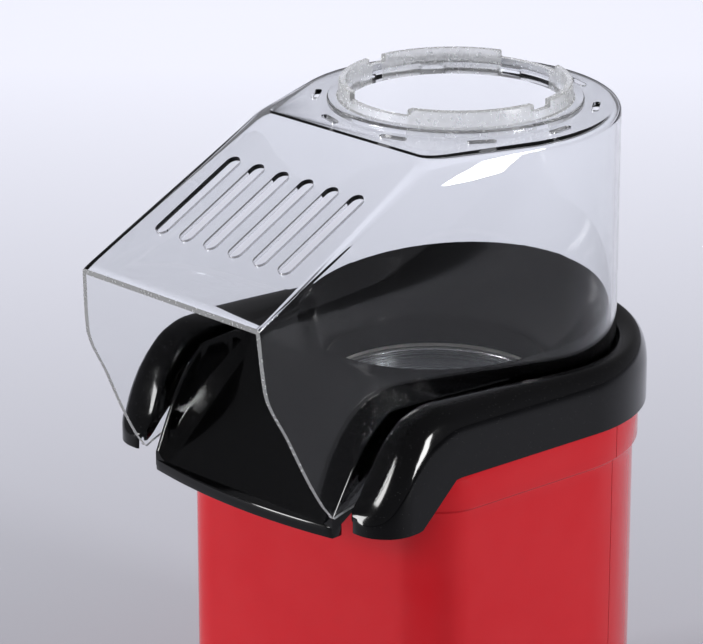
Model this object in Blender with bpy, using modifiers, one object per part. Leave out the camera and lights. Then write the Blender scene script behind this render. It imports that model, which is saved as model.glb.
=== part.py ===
"""A small hot-air popcorn maker: red two-part body, black collar, bowl with a chute, clear lift-off cover.

Lengths are metres. The upright axis of the round cover is the local Z axis, the chute points to -Y,
and the empty that everything hangs from puts the middle of the whole outline over the origin.
"""

import math

import bmesh
import bpy

MM = 0.001
GAP = 0.3 * MM            # clearance that touching pieces keep
SEGMENTS = 36             # sides of a large round piece

# clear cover, seen from above: a cylinder with a hood that points forward
COVER_T = 2 * MM
COVER_H = 100.7 * MM      # from the ledge that it stands on to its flat top
CREASE_X = 44.9 * MM      # half the roof's width where it starts
CREASE_MARGIN = 11.801 * MM   # from the cylinder out to the roof's rear corners
ROOF_DROP = 42.3 * MM
ROOF_FRONT_X = 46.5 * MM
ROOF_REACH = 31.2 * MM    # roof's front edge ahead of the tips
TIP_REACH = 3.5 * MM      # cover's lower tips ahead of the wings
TIP_X = 51 * MM

# body outline: half circle behind, straight sides, rounded front corners
BODY_ROOM = 7.5 * MM      # from the motor deck out to the body's wall
BODY_MARGIN = 7.2 * MM    # body outside the cover
BODY_FRONT = 82.3 * MM
BODY_CORNER = 20 * MM
WALL = 2.2 * MM
SEAM_Y = 17 * MM          # where the front and rear halves of the body meet

# base and feet
FOOT_H = 3.5 * MM
FOOT_R = 7 * MM
FOOT_PEG = 0.4            # share of the foot's radius
FOOT_INSET = 20 * MM      # from the body's outline to a front foot's axis
BASE_T = 3 * MM
BASE_RIM = 4.5 * MM
BASE_OUTSET = 0.8 * MM
BASE_LIP = 3 * MM         # low wall that stands inside the shells
INTAKE_R = 24 * MM        # circle of the air slots under the motor
INTAKES = 16

# collar and the band under it
COLLAR_Z = 157.5 * MM
COLLAR_SLOPE = -0.05      # its lower edge rises towards the front
COLLAR_OUTSET = 4.9 * MM
COLLAR_H = 23.5 * MM
COLLAR_T = 2.2 * MM
COLLAR_LAP = 6 * MM       # top of the shells inside the collar
BAND_H = 15.9 * MM
BAND_OUTSET = 1.9 * MM
BAND_STEP = 0.7 * MM
LEDGE_Z = COLLAR_Z + 11.1 * MM
LEDGE_W = 2.7 * MM
LEDGE_T = 2.4 * MM
WING_FRONT = BODY_FRONT + 30.2 * MM
WING_CORNER = 14 * MM
WING_GAP = 3.5 * MM       # between the cover and the tip of a wing
WING_FOOT_Z = COLLAR_Z - 11.5 * MM
WING_FOOT_Y = BODY_FRONT + 11.7 * MM
WING_RISE_Y = BODY_FRONT - 6.3 * MM
CHUTE_NOTCH_X = TIP_X + WING_GAP + 8 * MM
NOTCH_Z = COLLAR_Z - 12 * MM

# ring, vents and slots of the cover
RING_R = 44.1 * MM
RING_HOLE_R = 41.6 * MM
RING_FLANGE_R = 48.6 * MM
RING_FLANGE_H = 1.8 * MM
RING_H = 5.4 * MM
RING_TAB_H = 2.9 * MM
RING_WIDE_DIP = 30 * MM   # dips in front and behind
RING_SLIM_DIP = 9 * MM    # dips at the sides
ROOF_SLOTS = 6
ROOF_SLOT_PITCH = 12.84 * MM
ROOF_SLOT_W = 6 * MM
ROOF_SLOT_START = 23.5 * MM
ROOF_SLOT_END = 64 * MM
PLATE_VENTS = 10
PLATE_VENT_R = 53 * MM
PLATE_VENT_L = 11 * MM
PLATE_VENT_W = 2.8 * MM

# bowl and chute
CORE_Y = -11 * MM         # axis of throat, chamber, fan and motor
THROAT_R = 43 * MM
THROAT_L = 12.5 * MM
BOWL_T = 2.2 * MM
RIM_Y = -1.6 * MM
RIM_TILT = 0.1
LIP_X = TIP_X - 3.8 * MM
LIP_Y = WING_FRONT - 0.1 * MM
LIP_BOW = 4.6 * MM
LIP_Z = COLLAR_Z - 12.9 * MM
LIP_T = 4.2 * MM
APRON_T = 1.8 * MM
APRON_FOOT = LIP_Z - 3.6 * MM
CHUTE_WALL = 1.8 * MM

# motor deck, fan and heater, from below
DECK_Z = 44 * MM
DECK_T = 2.4 * MM
POST_R = 4 * MM
POSTS = 4
FAN_CLEARANCE = 3.8 * MM  # between the fan and the duct
FAN_Z = DECK_Z + DECK_T + 3.6 * MM
FAN_H = 14 * MM
FAN_PLATE = 1.4 * MM
FAN_BLADES = 9
BLADE_T = 1.3 * MM
HUB_R = 7 * MM
MICA_T = 1 * MM
MICA_Z = FAN_Z + FAN_H + 6 * MM
MICA_H = 20 * MM
COIL_RING = 30 * MM
COIL_R = 3 * MM
COIL_WIRE = 0.45 * MM
COIL_LOOPS = 20           # a multiple of four, so that a loop rests in each notch
COIL_NOTCH = 7.6 * MM

# chamber and its joint with the bowl and the duct
CHAMBER_T = 1.2 * MM
CHAMBER_FLOOR = MICA_Z + MICA_H + 6 * MM
CHAMBER_DOME = 6 * MM
CHAMBER_ROUND = 5 * MM
FLANGE_T = 1.2 * MM
GASKET_T = 1.4 * MM
LOUVRES = 16
LOUVRE_W = 2.4 * MM
LOUVRE_H = 9 * MM
TIE_SCREWS = 3
DUCT_SPACE = 5.6 * MM     # from the chamber's wall to the duct's outer face
DUCT_T = 1.2 * MM
DUCT_FOOT_W = 3 * MM

# motor and its rectifier
MOTOR_R = 17 * MM
MOTOR_L = 29.7 * MM
SHAFT_R = 1.5 * MM
SHAFT_BORE = 1.8 * MM
SHAFT_SEAT = 14 * MM      # length of the shaft inside the motor
MOTOR_SCREW_R = 11 * MM
BOARD_R = 15 * MM
BOARD_T = 1.6 * MM
DIODE_R = 1.3 * MM
DIODE_L = 5 * MM
DIODE_PITCH = 5 * MM
DIODES = 4

# screws
SCREW_R = 1.4 * MM
SCREW_HEAD_R = 2.8 * MM
SCREW_HEAD_H = 1.8 * MM
SCREW_HOLE = 1.7 * MM
BOSS_R = 4.5 * MM
BOSS_H = 18 * MM

# switch and cord inlet, both on the back
SWITCH_W = 15 * MM
SWITCH_H = 21 * MM
SWITCH_DEPTH = 14 * MM
SWITCH_Z = 62 * MM
SWITCH_FLANGE = 1.6 * MM
SWITCH_LAP = 1.5 * MM     # flange outside the opening, each way
ROCKER_W = 11 * MM
ROCKER_H = 16 * MM
ROCKER_R = 4.4 * MM
ROCKER_TILT = math.radians(7)
GLAND_Z = 24 * MM
GLAND_R = 7 * MM
GLAND_BORE = 3.4 * MM
GLAND_WALL = 1.6 * MM

# sizes and places that follow: the core sets the deck, the deck the body, and the body the cover
CHAMBER_R = THROAT_R + 0.4 * MM
DUCT_R = CHAMBER_R + DUCT_SPACE
TIE_R = DUCT_R + SCREW_HEAD_R
FLANGE_R = TIE_R + SCREW_HEAD_R + 1.4 * MM
FAN_R = DUCT_R - DUCT_T - FAN_CLEARANCE
MICA_HALF = DUCT_R - DUCT_T - GAP
DECK_POST_R = DUCT_R + DUCT_FOOT_W + SCREW_HEAD_R + 0.7 * MM
DECK_R = DECK_POST_R + POST_R + 0.5 * MM
BODY_R = DECK_R + BODY_ROOM + WALL
COVER_R = BODY_R - BODY_MARGIN
CREASE_Y = math.sqrt((COVER_R + CREASE_MARGIN) ** 2 - CREASE_X ** 2)
THROAT_Z = LEDGE_Z + 5.4 * MM
THROAT_FOOT = THROAT_Z - THROAT_L
RIM_Z = LEDGE_Z + 22.4 * MM
COVER_FOOT = LEDGE_Z + LEDGE_T + GAP + BOWL_T + GAP
COVER_TOP = COVER_FOOT - 2.5 * MM + COVER_H
TIP_Y = WING_FRONT + TIP_REACH
TIP_Z = WING_FOOT_Z + 4 * MM
ROOF_FRONT_Y = TIP_Y + ROOF_REACH
ROOF_FRONT_Z = COVER_TOP - ROOF_DROP
BOWL_FLANGE_R = COVER_R + GAP
BOWL_SKIRT_R = COVER_R - COVER_T - 2 * GAP
RIM_R = BOWL_SKIRT_R - 0.7 * MM
BASE_TOP = FOOT_H + BASE_T
SHELL_FOOT = FOOT_H + BASE_RIM + GAP
CHAMBER_TOP = THROAT_FOOT - GAP - GASKET_T - GAP
DUCT_TOP = CHAMBER_TOP - FLANGE_T - GAP
MOTOR_TOP = DECK_Z - GAP
MOTOR_FOOT = MOTOR_TOP - MOTOR_L
ORIGIN_Y = (ROOF_FRONT_Y - BODY_R - COLLAR_OUTSET) / 2

COLOURS = {
    "red_abs": (0.60, 0.02, 0.03, 1, 0.18, 0),
    "black_abs": (0.012, 0.012, 0.013, 1, 0.15, 0),
    "clear_san": (0.92, 0.94, 0.96, 0.3, 0.05, 0),
    "aluminium": (0.78, 0.79, 0.80, 1, 0.3, 1),
    "steel": (0.55, 0.56, 0.57, 1, 0.35, 1),
    "rubber": (0.02, 0.02, 0.02, 1, 0.8, 0),
    "mica": (0.55, 0.48, 0.36, 1, 0.5, 0),
    "nichrome": (0.35, 0.33, 0.31, 1, 0.4, 1),
    "silicone": (0.75, 0.75, 0.72, 1, 0.6, 0),
    "fan_nylon": (0.85, 0.85, 0.82, 1, 0.5, 0),
    "laminate": (0.55, 0.42, 0.16, 1, 0.6, 0),
}


# ---------------------------------------------------------------- helpers

def clear_scene():
    for obj in list(bpy.data.objects):
        bpy.data.objects.remove(obj, do_unlink=True)


def collection(name):
    found = bpy.data.collections.new(name)
    bpy.context.scene.collection.children.link(found)
    return found


clear_scene()
PARTS = collection("popcorn_maker")
CUTTERS = collection("cutters")
CUTTERS.hide_render = True
ROOT = bpy.data.objects.new("popcorn_maker_origin", None)
PARTS.objects.link(ROOT)
ROOT.location = (0, ORIGIN_Y, 0)


def material(name):
    found = bpy.data.materials.get(name)
    if found:
        return found
    red, green, blue, alpha, rough, metal = COLOURS[name]
    found = bpy.data.materials.new(name)
    found.use_nodes = True
    shader = found.node_tree.nodes["Principled BSDF"]
    shader.inputs["Base Color"].default_value = (red, green, blue, 1)
    shader.inputs["Alpha"].default_value = alpha
    shader.inputs["Roughness"].default_value = rough
    shader.inputs["Metallic"].default_value = metal
    return found


def place(obj, finish, at=(0, 0, 0), turn=(0, 0, 0)):
    """Links an object as a visible piece, or as a cutter when finish is None."""
    if finish is None:
        CUTTERS.objects.link(obj)
        obj.hide_render = True
        obj.display_type = "WIRE"
    else:
        PARTS.objects.link(obj)
        obj.data.materials.append(material(finish))
    obj.parent = ROOT
    obj.location = at
    obj.rotation_euler = turn
    return obj


def mesh_object(name, bm, finish, at=(0, 0, 0), turn=(0, 0, 0), smooth=True):
    bmesh.ops.recalc_face_normals(bm, faces=bm.faces)
    mesh = bpy.data.meshes.new(name)
    bm.to_mesh(mesh)
    bm.free()
    if smooth:
        mesh.shade_smooth()
        mesh.set_sharp_from_angle(angle=math.radians(35))
    return place(bpy.data.objects.new(name, mesh), finish, at, turn)


def box(name, size, finish, at=(0, 0, 0), turn=(0, 0, 0)):
    bm = bmesh.new()
    bmesh.ops.create_cube(bm, size=1)
    bmesh.ops.scale(bm, vec=size, verts=bm.verts)
    return mesh_object(name, bm, finish, at, turn, smooth=False)


def cylinder(name, radius, height, finish, at=(0, 0, 0), turn=(0, 0, 0), segments=24):
    bm = bmesh.new()
    bmesh.ops.create_cone(
        bm, cap_ends=True, segments=segments, radius1=radius, radius2=radius, depth=height,
    )
    return mesh_object(name, bm, finish, at, turn)


def turned(name, profile, finish, at=(0, 0, 0), turn=(0, 0, 0), steps=SEGMENTS, ring=False):
    """Turns a profile of (radius, height) about Z. A ring is a closed profile clear of the axis."""
    mesh = bpy.data.meshes.new(name)
    count = len(profile)
    edges = [(i, i + 1) for i in range(count - 1)]
    if ring:
        edges.append((count - 1, 0))
    mesh.from_pydata([(r, 0, z) for r, z in profile], edges, [])
    obj = place(bpy.data.objects.new(name, mesh), finish, at, turn)
    screw = obj.modifiers.new("Turn", "SCREW")
    screw.axis = "Z"
    screw.steps = steps
    screw.render_steps = steps
    screw.use_merge_vertices = True
    screw.merge_threshold = 0.00001
    return obj


def loft(name, rings, finish, closed=False, at=(0, 0, 0)):
    """Skins rings of equal point count. closed joins the last ring to the first, else the ends are capped."""
    bm = bmesh.new()
    rows = [[bm.verts.new(point) for point in ring] for ring in rings]
    count = len(rows[0])
    pairs = list(zip(rows, rows[1:] + rows[:1])) if closed else list(zip(rows, rows[1:]))
    for low, high in pairs:
        for i in range(count):
            j = (i + 1) % count
            bm.faces.new((low[i], low[j], high[j], high[i]))
    if not closed:
        bm.faces.new(rows[0])
        bm.faces.new(rows[-1])
    return mesh_object(name, bm, finish, at)


def carry(bm, face, move):
    """Extrudes one face along move."""
    moved = bmesh.ops.extrude_face_region(bm, geom=[face])["geom"]
    bmesh.ops.translate(bm, vec=move, verts=[item for item in moved if isinstance(item, bmesh.types.BMVert)])


def prism_x(name, outline, half_width, finish, at_x=0.0):
    """A (y, z) outline carried along X."""
    bm = bmesh.new()
    face = bm.faces.new([bm.verts.new((at_x - half_width, y, z)) for y, z in outline])
    carry(bm, face, (2 * half_width, 0, 0))
    return mesh_object(name, bm, finish, smooth=False)


def prism_z(name, outline, low, high, finish):
    """An (x, y) outline carried up from low to high."""
    bm = bmesh.new()
    face = bm.faces.new([bm.verts.new((x, y, low)) for x, y in outline])
    carry(bm, face, (0, 0, high - low))
    return mesh_object(name, bm, finish, smooth=False)


def merged(name, pieces):
    """One cutter made of cutters that don't touch each other."""
    bm = bmesh.new()
    for piece in pieces:
        start = len(bm.verts)
        bm.from_mesh(piece.data)
        bm.verts.ensure_lookup_table()
        spot = piece.matrix_basis
        bmesh.ops.transform(bm, matrix=spot, verts=bm.verts[start:])
        bpy.data.objects.remove(piece, do_unlink=True)
    return mesh_object(name, bm, None, smooth=False)


def boolean(obj, other, operation="DIFFERENCE"):
    step = obj.modifiers.new(other.name, "BOOLEAN")
    step.operation = operation
    step.object = other
    step.solver = "EXACT"
    return obj


def arc(centre_x, centre_y, radius, start, end, steps):
    """Points on an arc, angles in degrees, both ends included."""
    points = []
    for i in range(steps + 1):
        angle = math.radians(start + (end - start) * i / steps)
        points.append((centre_x + radius * math.cos(angle), centre_y + radius * math.sin(angle)))
    return points


def around(radius, count, start=0.0, centre_y=0.0):
    """count spots on a circle, each as (x, y, angle)."""
    spots = []
    for i in range(count):
        angle = math.radians(start) + 2 * math.pi * i / count
        spots.append((radius * math.cos(angle), centre_y + radius * math.sin(angle), angle))
    return spots


def follow(points, at):
    """Height on a polyline of (place, height) pairs."""
    for (a, low), (b, high) in zip(points, points[1:]):
        if (at - a) * (at - b) <= 0:
            return low + (high - low) * (at - a) / (b - a)
    return points[0][1] if abs(at - points[0][0]) < abs(at - points[-1][0]) else points[-1][1]


# ---------------------------------------------------------------- body outline

def body_outline(outset):
    radius = BODY_R + outset
    corner = BODY_CORNER + outset
    front = BODY_FRONT + outset
    middle = radius - corner
    return (
        arc(0, 0, radius, 0, 180, 28)
        + arc(-middle, corner - front, corner, 180, 270, 6)
        + arc(middle, corner - front, corner, 270, 360, 6)
    )


def body_ring(outset, height, slope=0.0):
    return [(x, y, height + slope * y) for x, y in body_outline(outset)]


def shell_screw_spots():
    inset = BODY_R - WALL - BOSS_R + 1.2 * MM
    rear_x, rear_y = inset * math.cos(math.radians(42)), inset * math.sin(math.radians(42))
    front_y = -BODY_FRONT / 2
    return [(inset, front_y), (-inset, front_y), (rear_x, rear_y), (-rear_x, rear_y)]


def foot_spots():
    front_x, front_y = BODY_R - 1.3 * FOOT_INSET, FOOT_INSET - BODY_FRONT
    rear = BODY_R - 0.64 * FOOT_INSET
    rear_x, rear_y = rear * math.cos(math.radians(50)), rear * math.sin(math.radians(50))
    return [(front_x, front_y), (-front_x, front_y), (rear_x, rear_y), (-rear_x, rear_y)]


def tie_spots():
    """The screws that tie duct, chamber and bowl together."""
    return around(TIE_R, TIE_SCREWS, 90, CORE_Y)


def post_spots():
    return [(x, y) for x, y, angle in around(DECK_POST_R, POSTS, 45, CORE_Y)]


# ---------------------------------------------------------------- base

def pan_screw(name, length, at, up=True):
    """A pan head screw: the origin is under its head, the shank points up, or down when up is False."""
    profile = [
        (0, length), (SCREW_R * 0.6, length), (SCREW_R, length - 1.2 * MM), (SCREW_R, 0), (SCREW_HEAD_R, 0),
        (SCREW_HEAD_R, -SCREW_HEAD_H * 0.6), (SCREW_HEAD_R * 0.7, -SCREW_HEAD_H), (0, -SCREW_HEAD_H),
    ]
    return turned(name, profile, "steel", at, (0 if up else math.pi, 0, 0), steps=12)


def screw_holes(spots, length, height):
    """Round cutters for screws. Each spot starts with x and y, and height is the middle of the hole."""
    return [cylinder("c", SCREW_HOLE, length, None, (x, y, height), segments=10) for x, y, *rest in spots]


def make_base():
    lip_top = FOOT_H + BASE_RIM + BASE_LIP
    rings = [
        body_ring(BASE_OUTSET - 1 * MM, FOOT_H), body_ring(BASE_OUTSET, FOOT_H + 1 * MM),
        body_ring(BASE_OUTSET, FOOT_H + BASE_RIM), body_ring(-WALL - GAP, FOOT_H + BASE_RIM),
        body_ring(-WALL - GAP, lip_top), body_ring(-2 * WALL - GAP, lip_top),
        body_ring(-2 * WALL - GAP, BASE_TOP),
    ]
    base = loft("base_plate", rings, "black_abs")
    foot = FOOT_H + 1 * MM
    reach = DECK_Z - GAP - foot
    for index, (x, y) in enumerate(post_spots()):
        post = cylinder(f"post_{index}", POST_R, reach, None, (x, y, foot + reach / 2), segments=10)
        boolean(base, post, "UNION")
    cuts = screw_holes(post_spots(), 20 * MM, DECK_Z - 6 * MM)
    for x, y in shell_screw_spots():
        cuts.append(cylinder("c", SCREW_HEAD_R + GAP, 4 * MM, None, (x, y, FOOT_H), segments=16))
    for x, y in foot_spots():
        cuts.append(cylinder("c", FOOT_R * FOOT_PEG + GAP, 20 * MM, None, (x, y, FOOT_H), segments=16))
    for x, y, angle in around(INTAKE_R, INTAKES, 0, CORE_Y):
        cuts.append(box("c", (INTAKE_R, 2.6 * MM, 12 * MM), None, (x, y, FOOT_H), (0, 0, angle)))
    boolean(base, merged("base_openings", cuts))
    boolean(base, merged("base_screw_holes", screw_holes(shell_screw_spots(), 30 * MM, FOOT_H)))


def make_feet():
    for index, (x, y) in enumerate(foot_spots()):
        peg = FOOT_R * FOOT_PEG
        profile = [
            (0, BASE_TOP - GAP), (peg, BASE_TOP - GAP), (peg, FOOT_H - GAP), (FOOT_R, FOOT_H - GAP),
            (FOOT_R, 0.8 * MM), (FOOT_R - 0.8 * MM, 0), (0, 0),
        ]
        turned(f"foot_{index + 1}", profile, "rubber", (x, y, 0), steps=24)


# ---------------------------------------------------------------- red shells

def shell_ring(name, finish):
    top = COLLAR_Z - GAP
    band = COLLAR_Z - BAND_H
    rings = [
        body_ring(0, SHELL_FOOT),
        body_ring(0, band - BAND_STEP, COLLAR_SLOPE),
        body_ring(BAND_OUTSET, band + BAND_STEP, COLLAR_SLOPE),
        body_ring(BAND_OUTSET, top, COLLAR_SLOPE),
        body_ring(0, top, COLLAR_SLOPE),
        body_ring(0, top + COLLAR_LAP, COLLAR_SLOPE),
        body_ring(-WALL, top + COLLAR_LAP, COLLAR_SLOPE),
        body_ring(-WALL, SHELL_FOOT),
    ]
    return loft(name, rings, finish, closed=True)


def add_bosses(shell, spots):
    foot = SHELL_FOOT + BASE_LIP + GAP
    for index, (x, y) in enumerate(spots):
        at = (x, y, foot + BOSS_H / 2)
        boolean(shell, cylinder(f"{shell.name}_boss_{index}", BOSS_R, BOSS_H, None, at, segments=20), "UNION")
    drills = screw_holes(spots, BOSS_H, foot - 1 * MM + BOSS_H / 2)
    boolean(shell, merged(f"{shell.name}_pilot_holes", drills))


def make_front_shell():
    shell = shell_ring("front_shell", "red_abs")
    rear_half = box("front_trim", (0.4, 0.2, 0.4), None, (0, SEAM_Y + 0.1 - GAP / 2, 0.15))
    boolean(shell, rear_half)
    notch = box("front_notch", (2 * CHUTE_NOTCH_X, 0.06, 0.1), None, (0, -BODY_FRONT, NOTCH_Z + 0.05))
    boolean(shell, notch)
    add_bosses(shell, shell_screw_spots()[:2])


def make_rear_shell():
    shell = shell_ring("rear_shell", "red_abs")
    front_half = box("rear_trim", (0.4, 0.3, 0.4), None, (0, SEAM_Y - 0.15 + GAP / 2, 0.15))
    boolean(shell, front_half)
    size = (SWITCH_W + 2 * GAP, 0.03, SWITCH_H + 2 * GAP)
    boolean(shell, box("switch_opening", size, None, (0, BODY_R, SWITCH_Z)))
    radius = GLAND_BORE + GLAND_WALL + GAP
    boolean(shell, cylinder("gland_opening", radius, 0.02, None, (0, BODY_R, GLAND_Z), (math.pi / 2, 0, 0)))
    add_bosses(shell, shell_screw_spots()[2:])


# ---------------------------------------------------------------- collar

def collar_bottom(y):
    if y > -WING_RISE_Y:
        return COLLAR_Z + COLLAR_SLOPE * y
    top = COLLAR_Z - COLLAR_SLOPE * WING_RISE_Y
    line = [(-WING_RISE_Y, top), (-WING_FOOT_Y, WING_FOOT_Z), (-WING_FRONT, WING_FOOT_Z)]
    return follow(line, y)


def collar_crest(y):
    """Height of the collar's top edge: level behind, rising forward, then sweeping down along the wing."""
    rise = COLLAR_Z + COLLAR_H
    front = y + WING_FRONT
    line = [
        (0.3, rise), (WING_FRONT, rise + 1.5 * MM), (62.5 * MM, rise + 5.5 * MM),
        (32.5 * MM, rise + 7.5 * MM), (24.5 * MM, rise + 5.5 * MM),
        (16.5 * MM, rise - 1 * MM), (10.5 * MM, rise - 11 * MM),
        (4.5 * MM, rise - 23 * MM), (0, WING_FOOT_Z + 5 * MM),
    ]
    return follow(line, front)


def beside_cover(y):
    """The collar's inner edge ahead of the axis: it follows the cover's foot, with more room at the wing."""
    foot = [(py, px) for px, py, pz in cover_ring(COVER_FOOT, 0) if px > 0]
    part = min(1, y / (WING_CORNER - WING_FRONT))
    return follow(foot, y) + 2 * GAP + (WING_GAP - 2 * GAP) * part, y


def collar_paths():
    """Matching points on the outer and inner edge, from one wing's tip round the back to the other's."""
    radius = BODY_R + COLLAR_OUTSET
    outer_half = arc(0, 0, radius, 90, 0, 14)
    inner_half = arc(0, 0, COVER_R + 2 * GAP, 90, 0, 14)
    for part in (0.25, 0.5, 0.75, 0.9):
        y = -part * (WING_FRONT - WING_CORNER)
        outer_half.append((radius, y))
        inner_half.append(beside_cover(y))
    corner = arc(radius - WING_CORNER, WING_CORNER - WING_FRONT, WING_CORNER, 0, -90, 8)
    corner.append((beside_cover(-WING_FRONT)[0] + 3 * MM, -WING_FRONT))
    for index, point in enumerate(corner):
        part = index / (len(corner) - 1)
        outer_half.append(point)
        inner_half.append(beside_cover(WING_CORNER - WING_FRONT - part * (WING_CORNER - 2 * MM)))
    outer = [(-x, y) for x, y in reversed(outer_half)][:-1] + outer_half
    inner_path = [(-x, y) for x, y in reversed(inner_half)][:-1] + inner_half
    return list(zip(outer, inner_path))


def collar_section(outer, inner):
    """The hollow section between an outer and an inner point. A corner is (part across, part up, lowered)."""
    width = math.dist(outer, inner)
    side = min(COLLAR_T / width, 0.3)
    ledge = LEDGE_W / width if outer[1] > -0.8 * WING_RISE_Y else 0.02
    points = [
        (0, 0, 0), (0, 0.6, 0), (0.07, 0.82, 0), (0.22, 0.96, 0), (0.42, 1, 0), (0.8, 0.96, 0), (1, 0.9, 0),
        (1, "ledge", -1), (1 + ledge, "ledge", -1), (1 + ledge, "ledge", 0), (1 - side, "ledge", 0),
        (1 - side, 0.9, 1), (0.42, 1, 1), (0.22 + side / 2, 0.96, 1), (side + 0.03, 0.6, 0), (side, 0, 0),
    ]
    return [section_point(outer, inner, *point) for point in points]


def section_point(outer, inner, across, up, lowered):
    x = outer[0] + (inner[0] - outer[0]) * across
    y = outer[1] + (inner[1] - outer[1]) * across
    low = collar_bottom(y)
    height = max(collar_crest(y) - low, 4 * MM)
    if up == "ledge":
        ledge = min(LEDGE_Z, low + 0.45 * height)
        return x, y, ledge - lowered * min(LEDGE_T, 0.2 * height)
    return x, y, low + up * height - lowered * min(COLLAR_T, 0.4 * height)


def make_collar():
    loft("collar", [collar_section(outer, inner) for outer, inner in collar_paths()], "black_abs")


# ---------------------------------------------------------------- bowl and chute

def tilted_circle(radius, centre_y, height, tilt, steps=40):
    return [
        (x, y, height + tilt * y) for x, y in arc(0, centre_y, radius, 0, 360, steps)[:-1]
    ]


def bowl_inside():
    """Rings of the bowl's inner face, throat to rim."""
    rise = RIM_Z - THROAT_Z
    spread = RIM_R - THROAT_R
    rings = []
    for part, height in ((0, 0), (0.1, 0.04), (0.36, 0.2), (0.66, 0.5), (0.86, 0.8), (0.96, 0.96), (1, 1)):
        centre = CORE_Y + (RIM_Y - CORE_Y) * part
        rings.append((THROAT_R + spread * part, centre, THROAT_Z + rise * height, RIM_TILT * part))
    return rings


def make_bowl():
    inside = bowl_inside()
    flange_top = LEDGE_Z + LEDGE_T + GAP + BOWL_T
    rings = [(THROAT_R, CORE_Y, THROAT_FOOT, 0)] + inside
    rings += [
        (BOWL_SKIRT_R, RIM_Y + 0.4 * MM, RIM_Z - 0.5 * MM, RIM_TILT),
        (BOWL_SKIRT_R, 0, RIM_Z - 3.5 * MM, RIM_TILT),
        (BOWL_SKIRT_R, 0, flange_top, 0),
        (BOWL_FLANGE_R, 0, flange_top, 0), (BOWL_FLANGE_R, 0, flange_top - BOWL_T, 0),
        (BOWL_SKIRT_R - BOWL_T, 0, flange_top - BOWL_T, 0),
        (BOWL_SKIRT_R - 2 * BOWL_T, RIM_Y, RIM_Z - 4 * BOWL_T, RIM_TILT),
        (THROAT_R + 2 * BOWL_T, CORE_Y, THROAT_Z - 1 * MM, 0),
        (THROAT_R + BOWL_T, CORE_Y, THROAT_Z - 3 * MM, 0),
        (THROAT_R + BOWL_T, CORE_Y, THROAT_FOOT + BOWL_T, 0), (FLANGE_R, CORE_Y, THROAT_FOOT + BOWL_T, 0),
        (FLANGE_R, CORE_Y, THROAT_FOOT, 0),
    ]
    bowl = loft("bowl_and_chute", [tilted_circle(*ring) for ring in rings], "black_abs", closed=True)
    wide = 0.4 * BOWL_T
    space = [tilted_circle(radius + wide, *rest) for radius, *rest in inside]
    space.append(tilted_circle(RIM_R + wide, RIM_Y, RIM_Z + 40 * MM, 0))
    chute = make_chute()
    boolean(chute, loft("bowl_space", space, None))
    boolean(bowl, chute, "UNION")
    boolean(bowl, make_lip(), "UNION")
    boolean(bowl, make_apron(), "UNION")
    boolean(bowl, merged("bowl_screw_holes", screw_holes(tie_spots(), 12 * MM, THROAT_FOOT)))


def chute_half(y):
    rear, rear_y = BOWL_SKIRT_R - 1 * MM, -6.4 * MM
    return rear + (y - rear_y) * (rear - LIP_X) / (LIP_Y + rear_y)


def chute_floor(y):
    """The floor leaves the bowl's front rim, drops steeply, then runs down to the lip."""
    rim = RIM_Z - 9 * MM
    edge = -BOWL_SKIRT_R
    line = [
        (edge + 30 * MM, rim), (edge, rim - 0.5 * MM), (edge - 4 * MM, rim - 3 * MM),
        (edge - 11 * MM, THROAT_Z - 0.4 * MM),
        (-LIP_Y, LIP_Z),
    ]
    return follow(line, y)


def chute_top(y):
    crest = RIM_Z - 7 * MM
    line = [
        (82 * MM, crest - 1 * MM), (28 * MM, crest), (20 * MM, crest - 5 * MM), (12 * MM, crest - 14 * MM),
        (6 * MM, crest - 24 * MM), (0, LIP_Z + 4 * MM),
    ]
    return follow(line, y + LIP_Y)


def chute_section(y):
    half = chute_half(y)
    floor = chute_floor(y)
    top = chute_top(y)
    crease = half - min(7 * MM, 0.5 * (top - floor) + 3 * MM)
    right = [
        (crease, floor), (half - 3.4 * MM, floor + 0.35 * (top - floor)), (half - CHUTE_WALL, top),
        (half, top),
        (half, floor - BOWL_T),
    ]
    return [(x, y, z) for x, z in right] + [(-x, y, z) for x, z in reversed(right)]


def make_chute():
    edge = -BOWL_SKIRT_R
    behind = [edge + 30 * MM, edge + 15 * MM, edge, edge - 4 * MM, edge - 11 * MM]
    ahead = [step * MM - LIP_Y for step in (28, 20, 12, 6, 3, 0)]
    return loft("chute_channel", [chute_section(y) for y in behind + ahead], None)


def make_lip():
    parts = [step / 4 for step in range(-4, 5)]
    bow = [(LIP_X * part, -LIP_Y - LIP_BOW * (1 - part * part)) for part in parts]
    outline = [(LIP_X, -LIP_Y + 5 * MM), (-LIP_X, -LIP_Y + 5 * MM)] + bow
    return prism_z("chute_lip", outline, LIP_Z - LIP_T, LIP_Z + 0.3 * MM, None)


def make_apron():
    y = -BODY_FRONT - BAND_OUTSET - GAP - APRON_T / 2
    top = chute_floor(y) - BOWL_T / 2
    size = (2 * chute_half(y), APRON_T, top - APRON_FOOT)
    return box("chute_apron", size, None, (0, y, (top + APRON_FOOT) / 2))


# ---------------------------------------------------------------- clear cover

def cover_edge(height):
    """The corner (x, y) where a side wall ends at this height: on the roof's edge, or at the mouth."""
    if height >= ROOF_FRONT_Z:
        part = (COVER_TOP - height) / (COVER_TOP - ROOF_FRONT_Z)
        return CREASE_X + (ROOF_FRONT_X - CREASE_X) * part, CREASE_Y + (ROOF_FRONT_Y - CREASE_Y) * part
    mouth = [(0, 1), (0.3, 0.93), (0.56, 0.61), (0.81, 0.29), (1, 0), (2, 0)]
    part = (ROOF_FRONT_Z - height) / (ROOF_FRONT_Z - TIP_Z)
    return ROOF_FRONT_X + (TIP_X - ROOF_FRONT_X) * part, TIP_Y + ROOF_REACH * follow(mouth, part)


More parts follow.
